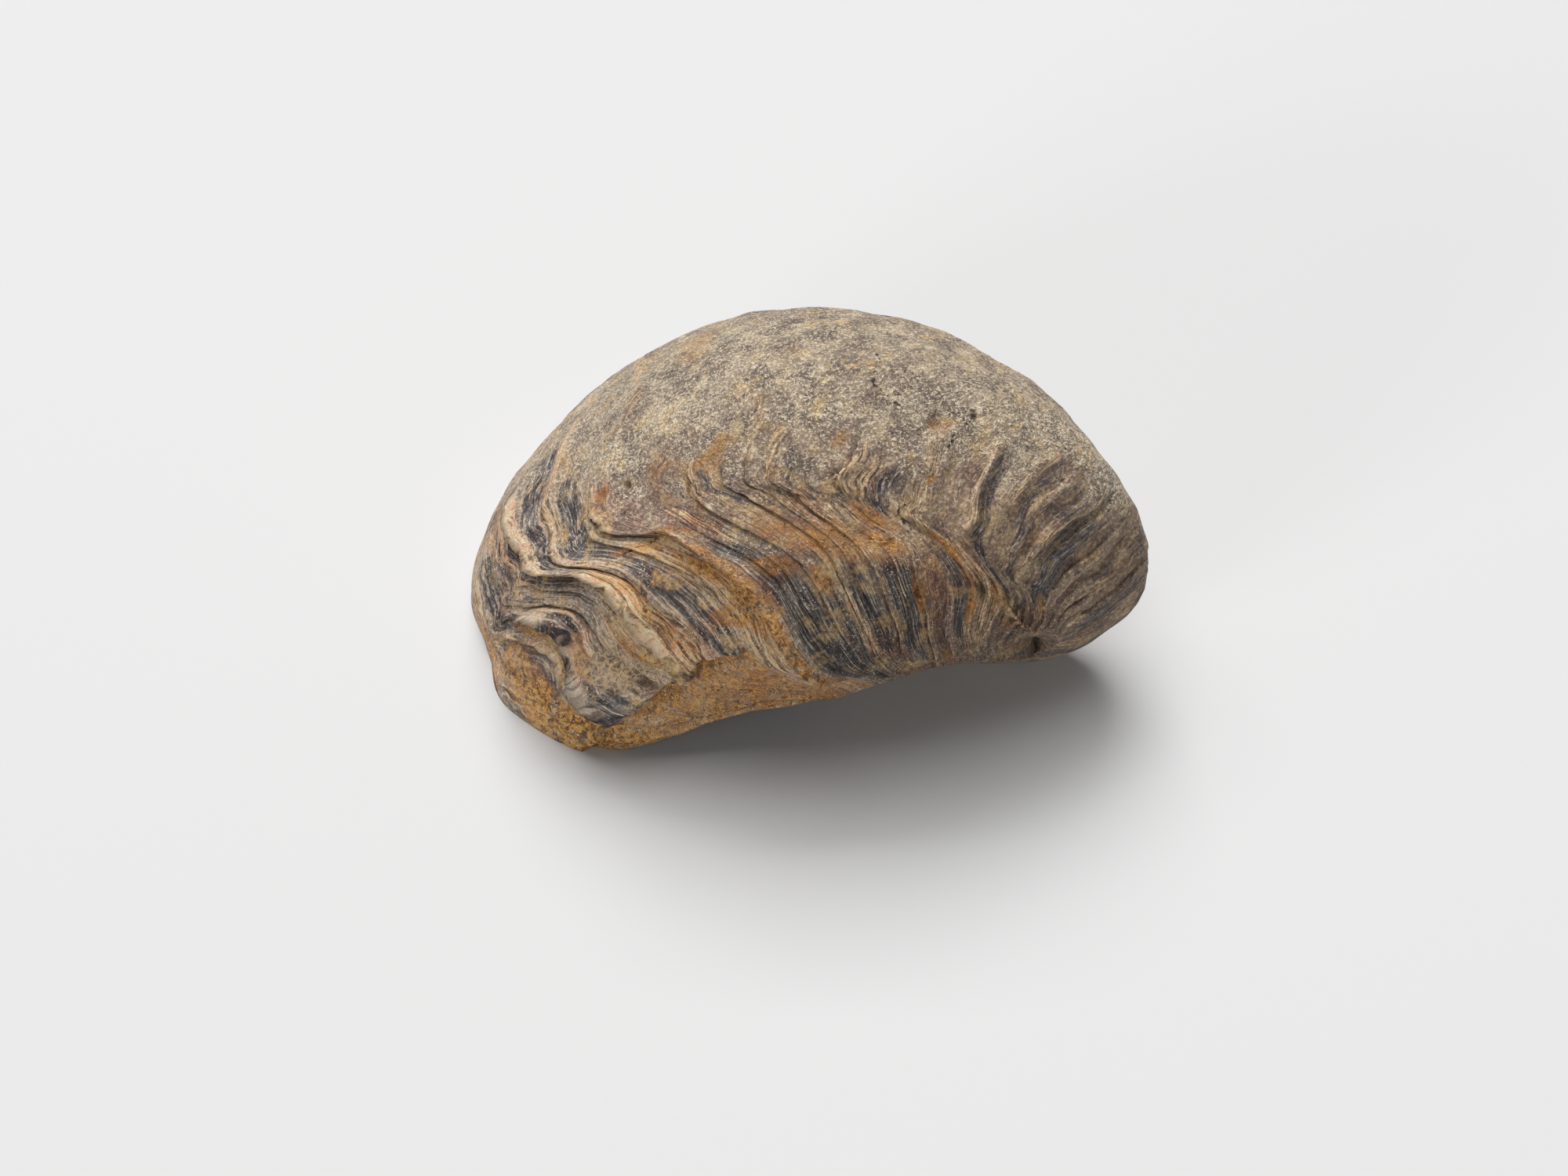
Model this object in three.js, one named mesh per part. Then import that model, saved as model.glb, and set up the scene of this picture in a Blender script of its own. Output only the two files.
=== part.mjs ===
// Fossil oyster: one thick, strongly arched left valve lying hollow side down.
// Millimetres, +Z up. The origin is on the table under the middle of the valve;
// the beak points along +X and the wing side of the valve faces -Y.
//
// The shell is modelled the way it grew. Each row of the mesh is one old edge of
// the valve (a growth line); the rows turn about the hinge and shrink towards the
// beak, like a logarithmic spiral. `age` counts radians of turn back from the
// final edge (0) to the beak (BEAK_AGE). `place` runs once around a growth line:
// 0 is the near end of the hinge, 3 the furrow, 6 the crest, 10 the far end of the
// hinge, and 10 to 12 is the flat area under the beak that joins the two ends.
import * as THREE from 'three';

// ---------------------------------------------------------------- dimensions
// Grown shape at places 0 to 10: near hinge, corner, wing, furrow, furrow top,
// near flank, crest, far flank, far shoulder, far side, far hinge.
const REACH = [7, 19.5, 33, 40.5, 42.5, 44.5, 44.5, 41, 34.5, 19.5, 4.5];
const SIDE = [-19.5, -25.5, -21.5, -15, -12.5, -7, 2, 13.5, 21, 20, 15];
const LAG = [0.70, 0.62, 0.50, 0.19, 0.13, 0.20, 0.29, 0.26, 0.25, 0.21, 0.20];
const EDGE_TRIM = [0.33, -0.38, -0.34, -0.08, -0.03, -0.10, -0.17, -0.15, -0.14, -0.11, -0.03];
// Young shape at the same places, near the beak.
const YOUNG_REACH = [5, 13, 17.5, 20, 29.5, 39, 46.5, 40.5, 31, 16, 1];
const YOUNG_SIDE = [-10, -16.5, -22, -26, -21.5, -10.5, 0, 6, 12.5, 15, 11];
const YOUNG_AGE = 2.0;
const BEAK_AGE = 5.4;
const HINGE_END = 10;
const ROUND = 12;

const HINGE_TRAVEL = 14;
const HINGE_RISE = 5.5;
const BEAK_HOOK = [-4.2, -0.7, -2.0];
const YAW = -0.24;
const PITCH = -0.13;
const TABLE_SHIFT = [25.25, -7.02, 3.9];
// The inner corner of the wing, beside the beak, droops towards the table.
const CORNER_DROOP = [3.0, 0, -5.2];

// Broken lamella edges: age, first place, last place, height in mm.
const LEDGES = [
  { age: 0.050, from: 0.3, to: 3.2, height: 0.9 },
  { age: 0.105, from: 0.4, to: 4.4, height: 1.0 },
  { age: 0.165, from: 0.9, to: 4.6, height: 1.5 },
  { age: 0.230, from: 1.3, to: 5.4, height: 0.8 },
  { age: 0.290, from: 0.9, to: 5.6, height: 1.6 },
  { age: 0.370, from: 0.4, to: 5.2, height: 0.7 },
  { age: 0.460, from: 0.3, to: 4.0, height: 0.6 },
  { age: 0.565, from: 0.1, to: 3.1, height: 1.5 },
  { age: 0.680, from: 0.2, to: 3.4, height: 0.7 },
  { age: 0.800, from: 0.1, to: 4.3, height: 0.9 },
  { age: 0.910, from: 0.1, to: 4.6, height: 1.0 },
  { age: 1.020, from: 0.1, to: 4.8, height: 0.9 },
  { age: 1.130, from: 0.1, to: 4.6, height: 0.7 },
  { age: 1.230, from: 0.1, to: 4.9, height: 0.9 },
  { age: 1.350, from: 0.2, to: 4.8, height: 0.6 },
  { age: 1.470, from: 0.1, to: 5.3, height: 0.9 },
  { age: 1.620, from: 0.3, to: 5.2, height: 0.9 },
  { age: 1.800, from: 0.5, to: 5.5, height: 0.8 },
  { age: 1.960, from: 1.0, to: 5.5, height: 0.6 },
  { age: 2.150, from: 1.5, to: 5.8, height: 0.7 },
  { age: 2.350, from: 2.0, to: 6.0, height: 0.5 },
  { age: 2.550, from: 2.5, to: 6.0, height: 0.5 },
];
const LEDGE_FACE = 0.007;
const FAR_LEDGES = 0.35;
const LUMP_HEIGHT = 0.35;
const WANDER = 0.014;

// Dents: age, place, radius and depth in mm.
const DENTS = [
  { age: 0.140, place: 1.95, radius: 2.6, depth: 1.3 },
  { age: 0.225, place: 1.25, radius: 3.4, depth: 1.2 },
  { age: 0.300, place: 1.60, radius: 2.2, depth: 0.8 },
  { age: 0.530, place: 1.55, radius: 2.4, depth: 0.8 },
  { age: 0.520, place: 2.60, radius: 2.4, depth: 0.8 },
  { age: 0.060, place: 2.90, radius: 2.8, depth: 0.9 },
  { age: 1.130, place: 2.55, radius: 2.4, depth: 0.7 },
  { age: 0.700, place: 8.20, radius: 4.0, depth: 0.8 },
  { age: 1.500, place: 7.40, radius: 3.2, depth: 0.6 },
];

// Step down where the lamellae of the lip have snapped off beside the wing edge.
const SNAP = { place: 1.22, age: 0.43, depth: 1.2 };

// Flat area under the beak: depth of the groove that held the ligament.
const LIGAMENT_GROOVE = 1.4;
const BEAK_ROUND = 0.45;

// Hollow under the valve.
const WALL = 0.15;
const HOLLOW_AGE = 1.75;
const HOLLOW_ROWS = 12;

// ---------------------------------------------------------------- small maths
const clamp = (x, lo, hi) => Math.min(Math.max(x, lo), hi);
// Soft step from 0 at `from` to 1 at `to`.
const smooth = (from, to, x) => {
  const f = clamp((x - from) / (to - from), 0, 1);
  return f * f * (3 - 2 * f);
};

// Smooth curve through evenly spaced values (Catmull-Rom).
function along(values, place) {
  const last = values.length - 1;
  const i = clamp(Math.floor(place), 0, last - 1);
  const f = place - i;
  const b = values[i];
  const c = values[i + 1];
  const a = i > 0 ? values[i - 1] : 2 * b - c;
  const d = i + 2 <= last ? values[i + 2] : 2 * c - b;
  return b + 0.5 * f * (c - a + f * (2 * a - 5 * b + 4 * c - d + f * (3 * (b - c) + d - a)));
}

// ---------------------------------------------------------------- smooth valve
const TURN = new THREE.Matrix4()
  .makeRotationZ(YAW)
  .multiply(new THREE.Matrix4().makeRotationY(PITCH));

// Point of the smooth outer surface, before it is settled on the table.
function grown(age, place) {
  const young = age ** 3 / (age ** 3 + YOUNG_AGE ** 3);
  const turn = age + along(EDGE_TRIM, place) * clamp(1 - age / 0.5, 0, 1) ** 2;
  const early = Math.min(turn, 2.0);
  const size = Math.exp(-(0.08 * turn + 0.10 * early ** 2 + 0.40 * (turn - early)))
    + 0.06 * smooth(3.2, 5.0, turn);
  const hinge = Math.exp(-0.78 * turn - 0.15 * turn ** 2);
  const reach = THREE.MathUtils.lerp(along(REACH, place), along(YOUNG_REACH, place), young) * size;
  const angle = turn + along(LAG, place) * (1 - young);
  const side = THREE.MathUtils.lerp(along(SIDE, place), along(YOUNG_SIDE, place), young) * size
    + 1.9 * (1 - size);
  const hook = (Math.max(turn - 2.6, 0) / 2.6) ** 2;
  return new THREE.Vector3(
    -3 - HINGE_TRAVEL * hinge - reach * Math.cos(angle) + BEAK_HOOK[0] * hook,
    side + BEAK_HOOK[1] * hook,
    reach * Math.sin(angle) + HINGE_RISE * (1 - hinge) + BEAK_HOOK[2] * hook,
  ).applyMatrix4(TURN).add(new THREE.Vector3(...TABLE_SHIFT));
}

// The same point with the lip brought down to the table away from the hinge.
function settled(age, place) {
  const point = grown(age, place);
  const lip = smooth(0.4, 1.2, place) * (1 - smooth(8.6, 9.6, place));
  const wave = 0.30 * Math.max(0, Math.sin(2.1 * place + 0.4));
  const drop = grown(0, place).z - wave;
  point.z -= drop * lip * clamp(1 - age / 0.3, 0, 1) ** 2;
  const corner = smooth(1.1, 0, place) * smooth(0.9, 2.4, age) * smooth(3.6, 2.6, age);
  return point.addScaledVector(new THREE.Vector3(...CORNER_DROOP), corner);
}

// Whole growth line, with the joining area under the beak from place 10 to 12.
function onLine(age, place) {
  if (place > HINGE_END) {
    const f = (place - HINGE_END) / (ROUND - HINGE_END);
    return settled(age, HINGE_END).lerp(settled(age, 0), f);
  }
  const wave = Math.sin(3.1 * place + 5 * age) + 0.4 * Math.sin(6.7 * place - 8 * age + 1);
  const free = smooth(0, 0.12, age) * smooth(0, 0.5, place) * smooth(10, 9.5, place);
  return settled(age + WANDER * wave * free, place);
}

// ---------------------------------------------------------------- relief
// Height of the stacked lamellae: each rises to its broken edge, then steps down.
function lamella(age, place) {
  let height = 0;
  LEDGES.forEach((ledge, i) => {
    const next = i + 1 < LEDGES.length ? LEDGES[i + 1].age : 2.8;
    if (age < ledge.age - LEDGE_FACE || age > next) return;
    const rise = clamp((age - ledge.age + LEDGE_FACE) / (2 * LEDGE_FACE), 0, 1);
    const fall = 1 - clamp((age - ledge.age) / (next - ledge.age), 0, 1);
    const near = smooth(ledge.from - 0.3, ledge.from + 0.3, place)
      * (1 - smooth(ledge.to - 0.8, ledge.to + 0.4, place));
    const far = FAR_LEDGES * smooth(6.6, 7.8, place) * (1 - smooth(9.6, 10, place));
    height = Math.max(height, ledge.height * rise * fall ** 1.3 * Math.max(near, far));
  });
  return height;
}

function lump(p) {
  return LUMP_HEIGHT * (Math.sin(0.43 * p.x + 0.21 * p.z + 1.0) * Math.sin(0.37 * p.y - 0.29 * p.z)
    + 0.6 * Math.sin(0.81 * p.x - 0.33 * p.y + 2.0) * Math.sin(0.74 * p.z + 0.52 * p.y));
}

const dentCentres = DENTS.map((dent) => onLine(dent.age, dent.place));

function dents(p) {
  return DENTS.reduce((sum, dent, i) => {
    const far = p.distanceTo(dentCentres[i]) / dent.radius;
    return sum - dent.depth * Math.exp(-(far ** 2));
  }, 0);
}

function snapped(age, place) {
  const soft = 0.03 + 0.12 * smooth(1.1, 0.5, place);
  return -SNAP.depth * smooth(SNAP.place + 0.08, SNAP.place - 0.08, place)
    * smooth(0, 0.9, place) * smooth(SNAP.age + soft, SNAP.age - soft, age);
}

// Shallow groove down the middle of the area under the beak.
function ligamentGroove(age, place) {
  const across = (place - 0.5 * (HINGE_END + ROUND)) / (0.5 * (ROUND - HINGE_END));
  if (Math.abs(across) >= 1) return 0;
  return -LIGAMENT_GROOVE * Math.cos(0.5 * Math.PI * across) ** 2 * (1 - smooth(1.0, 2.5, age));
}

// ---------------------------------------------------------------- mesh
// Ages of the outer rows: a pair at each ledge and one or more between ledges.
function outerAges() {
  const ages = [0];
  LEDGES.forEach((ledge, i) => {
    ages.push(ledge.age - LEDGE_FACE, ledge.age + LEDGE_FACE);
    const next = i + 1 < LEDGES.length ? LEDGES[i + 1].age : 0;
    if (next - ledge.age > 0.1) ages.push((ledge.age + next) / 2);
  });
  for (let age = 2.75; age < BEAK_AGE - BEAK_ROUND; age += 0.2) ages.push(age);
  [0, 0.45, 0.75, 0.93].forEach((f) => ages.push(BEAK_AGE - BEAK_ROUND * (1 - f)));
  return ages;
}

// Places around a growth line: closer together on the near side, where it bends.
function places() {
  const list = [];
  for (let i = 0; i < 34; i += 1) list.push((i * 6) / 34);
  for (let i = 0; i < 17; i += 1) list.push(6 + (i * 4) / 17);
  for (let i = 0; i < 5; i += 1) list.push(HINGE_END + (i * 2) / 5);
  return list;
}

const mean = (row) => row.reduce((sum, p) => sum.add(p), new THREE.Vector3()).divideScalar(row.length);

// One row, drawn in towards its middle where the tip of the beak rounds off.
function outerLine(age, around) {
  const line = around.map((place) => onLine(age, place));
  const f = clamp(1 - (BEAK_AGE - age) / BEAK_ROUND, 0, 1);
  const middle = mean(line);
  return line.map((p) => middle.clone().lerp(p, Math.sqrt(1 - f ** 2)));
}

// Outer grid with the relief laid on along the surface normal.
function outerRows(ages, around) {
  const base = ages.map((age) => outerLine(age, around));
  return base.map((row, r) => row.map((point, c) => {
    const before = base[Math.max(r - 1, 0)][c];
    const after = base[Math.min(r + 1, base.length - 1)][c];
    const left = row[(c + row.length - 1) % row.length];
    const right = row[(c + 1) % row.length];
    const normal = after.clone().sub(before).cross(right.clone().sub(left)).normalize();
    const shell = smooth(0, 0.25, around[c]) * smooth(10, 9.7, around[c]);
    const relief = lamella(ages[r], around[c]) + snapped(ages[r], around[c]) + dents(point)
      + lump(point) * smooth(0, 0.06, ages[r]);
    const height = relief * shell + ligamentGroove(ages[r], around[c]);
    const moved = point.clone().addScaledVector(normal, height);
    moved.z = Math.max(moved.z, 0);
    return moved;
  }));
}

// Rows of the hollow: growth lines drawn in towards their own middle.
function hollowRows(around) {
  const rows = [];
  for (let i = 0; i < HOLLOW_ROWS; i += 1) {
    const q = i / HOLLOW_ROWS;
    const line = around.map((place) => onLine(HOLLOW_AGE * q, place));
    const middle = mean(line);
    middle.z *= smooth(0, 0.2, q);
    const draw = (1 - WALL) * Math.sqrt(1 - q ** 4);
    rows.push(line.map((p) => middle.clone().lerp(p, draw)));
  }
  return rows;
}

function valveGeometry() {
  const around = places();
  const outer = outerRows(outerAges(), around);
  const inner = hollowRows(around);
  const rows = [...outer.reverse(), ...inner];
  const tip = mean(around.map((place) => onLine(BEAK_AGE, place)));
  const roof = mean(around.map((place) => onLine(HOLLOW_AGE, place)));

  const n = around.length;
  const positions = [tip, ...rows.flat(), roof].flatMap((p) => [p.x, p.y, p.z]);
  const at = (row, column) => 1 + row * n + (column % n);
  const end = 1 + rows.length * n;
  const faces = [];
  for (let c = 0; c < n; c += 1) {
    faces.push(0, at(0, c + 1), at(0, c));
    for (let r = 0; r + 1 < rows.length; r += 1) {
      faces.push(at(r, c), at(r, c + 1), at(r + 1, c));
      faces.push(at(r + 1, c), at(r, c + 1), at(r + 1, c + 1));
    }
    faces.push(at(rows.length - 1, c), at(rows.length - 1, c + 1), end);
  }
  const geometry = new THREE.BufferGeometry();
  geometry.setAttribute('position', new THREE.Float32BufferAttribute(positions, 3));
  geometry.setIndex(faces);
  geometry.computeVertexNormals();
  return geometry;
}

// ---------------------------------------------------------------- scene graph
const stone = new THREE.MeshStandardMaterial({ color: 0x8c8074, roughness: 0.85, metalness: 0 });
const valve = new THREE.Mesh(valveGeometry(), stone);
valve.name = 'oyster_valve';

const root = new THREE.Group();
root.name = 'fossil_oyster';
root.add(valve);

export default root;
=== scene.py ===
# %% [markdown]
# # Fossil oyster
#
# One thick left valve of an arched oyster, lying hollow side down on a pale floor.
# The real piece is grown calcite: the animal added a thin sheet (a lamella) along
# the open edge again and again while the whole edge slowly turned about the hinge.
# It could be carved, cast from a find or printed; here it is grown with the same
# rule the animal used, so that ledges, streaks and colour bands all follow the
# old edges of the shell.
#
# The frame comes from the CAD row. The one CAD solid is replaced by one finer
# piece of the same shape, in the same place, in metres.

# %% Frame
import math

import bpy
import numpy as np
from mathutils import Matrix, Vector


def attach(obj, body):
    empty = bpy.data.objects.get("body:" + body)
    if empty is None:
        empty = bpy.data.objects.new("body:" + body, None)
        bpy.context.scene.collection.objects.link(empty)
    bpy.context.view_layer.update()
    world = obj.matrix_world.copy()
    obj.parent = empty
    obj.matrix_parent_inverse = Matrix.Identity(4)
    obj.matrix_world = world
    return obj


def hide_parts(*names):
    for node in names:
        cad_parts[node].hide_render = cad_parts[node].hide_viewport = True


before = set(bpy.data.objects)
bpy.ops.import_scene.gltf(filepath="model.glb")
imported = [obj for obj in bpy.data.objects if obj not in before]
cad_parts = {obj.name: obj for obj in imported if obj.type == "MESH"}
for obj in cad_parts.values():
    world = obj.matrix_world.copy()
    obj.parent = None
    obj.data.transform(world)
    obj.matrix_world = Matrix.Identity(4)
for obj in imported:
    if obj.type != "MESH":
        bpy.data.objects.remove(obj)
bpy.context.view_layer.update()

# %% [markdown]
# ## Camera and light
#
# A small find is usually shown on a sheet of pale paper, seen through a long lens that
# keeps its proportions. The camera looks down at 49 degrees, straight at the near side.
# One lamp would give a hard shadow, so three big soft panels hang behind, overhead and
# at the back left, and a smaller one stands low at the near left. The shadow then
# falls forward and has no hard edge.

# %% Camera
ELEVATION = math.radians(49.0)
LOOK_AT = Vector((-0.00239, 0.00265, 0.0))
LENS_MM, SENSOR_MM = 200.0, 36.0
VIEW_WIDTH = 0.1724
DISTANCE = VIEW_WIDTH * LENS_MM / SENSOR_MM
STEP_BACK = 0.016

camera_data = bpy.data.cameras.new("camera")
camera_data.lens = LENS_MM
camera_data.sensor_width = SENSOR_MM
camera_data.clip_end = 20.0
camera = bpy.data.objects.new("camera", camera_data)
bpy.context.scene.collection.objects.link(camera)
back = Vector((0.0, -math.cos(ELEVATION), math.sin(ELEVATION)))
camera.location = LOOK_AT + back * (DISTANCE + STEP_BACK)
camera.rotation_euler = (math.pi / 2 - ELEVATION, 0.0, 0.0)
bpy.context.scene.camera = camera
print("camera", [round(v, 4) for v in camera.location])

# %% Light
SHELL_MIDDLE = Vector((0.0, 0.0, 0.02))
AMBIENT = 0.097
# Name, place in metres, side in metres, power in watts.
PANELS = [
    ("back", (0.0, 1.893, 2.703), 1.8, 85.0),
    ("top", (0.0, 0.288, 3.287), 2.4, 55.5),
    ("left", (-1.187, 0.996, 2.914), 1.8, 19.5),
    ("fill", (-2.264, -2.264, 0.798), 1.3, 37.0),
]


def panel(name, place, side, power):
    """A square soft light at `place` that faces the middle of the shell."""
    data = bpy.data.lights.new(name, "AREA")
    data.shape = "SQUARE"
    data.size = side
    data.energy = power
    lamp = bpy.data.objects.new(name, data)
    lamp.location = place
    lamp.rotation_euler = (SHELL_MIDDLE - Vector(place)).to_track_quat("-Z", "Y").to_euler()
    bpy.context.scene.collection.objects.link(lamp)


for name, place, side, power in PANELS:
    panel(name, place, side, power)
world = bpy.data.worlds.new("studio")
world.use_nodes = True
world.node_tree.nodes["Background"].inputs["Color"].default_value = (1.0, 1.0, 1.0, 1.0)
world.node_tree.nodes["Background"].inputs["Strength"].default_value = AMBIENT
bpy.context.scene.world = world
bpy.context.scene.view_settings.view_transform = "Standard"
print("panels", len(PANELS), "watts", sum(power for *_, power in PANELS))

# %% [markdown]
# ## The grown surface
#
# This is the body of the valve: a coiled, hollow cup. It could be sculpted by hand, or
# lofted through a few outlines, but then ledges and colours would have to be laid on it
# one by one. A rule of growth gives every point an address instead, and all that
# follows is written in those addresses. `age` counts the radians of turn back from the
# final edge (0) to the beak (5.4). `place` runs once around a growth line: 0 is the
# near end of the hinge, 3 the furrow, 6 the crest, 10 the far end of the hinge, and 10
# to 12 is the flat area under the beak. The dimensions are the CAD's, in millimetres.

# %% Grown surface
# One value for each place from 0 to 10: how far a late growth line reaches and how far
# to the side, in mm; by how many radians it lags; what the final edge is trimmed by;
# and the reach and side of the lines that the animal made early in its life.
REACH = [7, 19.5, 33, 40.5, 42.5, 44.5, 44.5, 41, 34.5, 19.5, 4.5]
SIDE = [-19.5, -25.5, -21.5, -15, -12.5, -7, 2, 13.5, 21, 20, 15]
LAG = [0.70, 0.62, 0.50, 0.19, 0.13, 0.20, 0.29, 0.26, 0.25, 0.21, 0.20]
EDGE_TRIM = [0.33, -0.38, -0.34, -0.08, -0.03, -0.10, -0.17, -0.15, -0.14, -0.11, -0.03]
EARLY_REACH = [5, 13, 17.5, 20, 29.5, 39, 46.5, 40.5, 31, 16, 1]
EARLY_SIDE = [-10, -16.5, -22, -26, -21.5, -10.5, 0, 6, 12.5, 15, 11]
# At this age a growth line is halfway between the two outlines.
EARLY_AGE = 2.0
BEAK_AGE = 5.4
HINGE_END = 10.0
ROUND = 12.0
SHRINK = 0.08
SHRINK_GAIN = 0.10
SHRINK_EARLY = 0.40
BEAK_SWELL = 0.06
SIDE_DRIFT = 1.9
HINGE_TRAVEL = 14.0
HINGE_RISE = 5.5
HINGE_FADE = (0.78, 0.15)
HOOK_AGE = 2.6
BEAK_HOOK = (-4.2, -0.7, -2.0)
YAW = -0.24
PITCH = -0.13
TABLE_SHIFT = (25.25, -7.02, 3.9)
CORNER_DROOP = np.array([3.0, 0.0, -5.2])
LIP_WAVE = 0.30
WANDER = 0.014


def smooth(start, end, x):
    """Soft step: f*f*(3 - 2f) with f = (x - start) / (end - start) held in 0..1."""
    f = np.clip((x - start) / (end - start), 0.0, 1.0)
    return f * f * (3.0 - 2.0 * f)


def along(values, place):
    """Catmull-Rom curve through evenly spaced values, straight beyond its ends."""
    v = np.asarray(values, float)
    v = np.concatenate([[2 * v[0] - v[1]], v, [2 * v[-1] - v[-2]]])
    i = np.clip(np.floor(place).astype(int), 0, len(values) - 2)
    f = place - i
    a, b, c, d = v[i], v[i + 1], v[i + 2], v[i + 3]
    return b + 0.5 * f * (c - a + f * (2 * a - 5 * b + 4 * c - d + f * (3 * (b - c) + d - a)))


def grown(age, place):
    """Smooth outer surface: a growth line turned by `age` about the moving hinge.

    point = Rz(YAW) Ry(PITCH) (-3 - 14 h - r cos a, s, r sin a + 5.5 (1 - h)), where
    h = exp(-0.78 t - 0.15 t^2), t is the age with the edge trimmed, a = t + lag, and
    r and s are the reach and side of the growth line shrunk by its size, which is
    exp(-0.08 t - 0.10 t^2), and falls by 0.40 more for each radian past 2.
    """
    share = age ** 3 / (age ** 3 + EARLY_AGE ** 3)
    turn = age + along(EDGE_TRIM, place) * np.clip(1 - age / 0.5, 0, 1) ** 2
    late = np.minimum(turn, 2.0)
    size = np.exp(-(SHRINK * turn + SHRINK_GAIN * late ** 2 + SHRINK_EARLY * (turn - late)))
    size = size + BEAK_SWELL * smooth(3.2, 5.0, turn)
    hinge = np.exp(-HINGE_FADE[0] * turn - HINGE_FADE[1] * turn ** 2)
    reach = (along(REACH, place) * (1 - share) + along(EARLY_REACH, place) * share) * size
    side = (along(SIDE, place) * (1 - share) + along(EARLY_SIDE, place) * share) * size
    side = side + SIDE_DRIFT * (1 - size)
    angle = turn + along(LAG, place) * (1 - share)
    hook = (np.maximum(turn - HOOK_AGE, 0) / HOOK_AGE) ** 2
    x = -3 - HINGE_TRAVEL * hinge - reach * np.cos(angle) + BEAK_HOOK[0] * hook
    y = side + BEAK_HOOK[1] * hook
    z = reach * np.sin(angle) + HINGE_RISE * (1 - hinge) + BEAK_HOOK[2] * hook
    x, z = x * math.cos(PITCH) + z * math.sin(PITCH), z * math.cos(PITCH) - x * math.sin(PITCH)
    x, y = x * math.cos(YAW) - y * math.sin(YAW), x * math.sin(YAW) + y * math.cos(YAW)
    return np.stack([x, y, z], -1) + TABLE_SHIFT


def settled(age, place):
    """The grown surface with its lip brought down to the floor away from the hinge.

    The drop is the lip's own height less a low wave, and fades by (1 - age / 0.3)^2.
    The near corner by the hinge also droops, most at an age of about 2.5.
    """
    point = grown(age, place)
    lip = smooth(0.4, 1.2, place) * (1 - smooth(8.6, 9.6, place))
    wave = LIP_WAVE * np.maximum(0, np.sin(2.1 * place + 0.4))
    drop = grown(np.zeros_like(age), place)[..., 2] - wave
    point[..., 2] -= drop * lip * np.clip(1 - age / 0.3, 0, 1) ** 2
    corner = smooth(1.1, 0.0, place) * smooth(0.9, 2.4, age) * smooth(3.6, 2.6, age)
    return point + corner[..., None] * CORNER_DROOP


def on_line(age, place):
    """Whole growth line; from place 10 to 12 it runs straight back to place 0.

    Two sine waves make its age wander a little, so that no line is ruled.
    """
    age, place = np.broadcast_arrays(np.asarray(age, float), np.asarray(place, float))
    wave = np.sin(3.1 * place + 5 * age) + 0.4 * np.sin(6.7 * place - 8 * age + 1)
    free = smooth(0, 0.12, age) * smooth(0, 0.5, place) * smooth(10, 9.5, place)
    shell = settled(age + WANDER * wave * free, np.minimum(place, HINGE_END))
    f = np.clip((place - HINGE_END) / (ROUND - HINGE_END), 0, 1)[..., None]
    far = settled(age, np.full_like(place, HINGE_END))
    near = settled(age, np.zeros_like(place))
    return np.where(f > 0, far * (1 - f) + near * f, shell)


print("lip at the furrow", on_line(0.0, 3.0).round(2), "beak", on_line(5.0, 6.0).round(2))

# %% [markdown]
# ## Ledges
#
# Where a sheet broke back, its edge stands proud and the younger shell below starts one
# step down. Such steps could be sculpted, or raised by a noise, but a noise does not
# run on round the shell as they do. So each ledge is written as a height in
# millimetres, the first and last place that it shows at, and the line that it follows
# as (place, age) points. Seeded chips then make its edge ragged.

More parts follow.
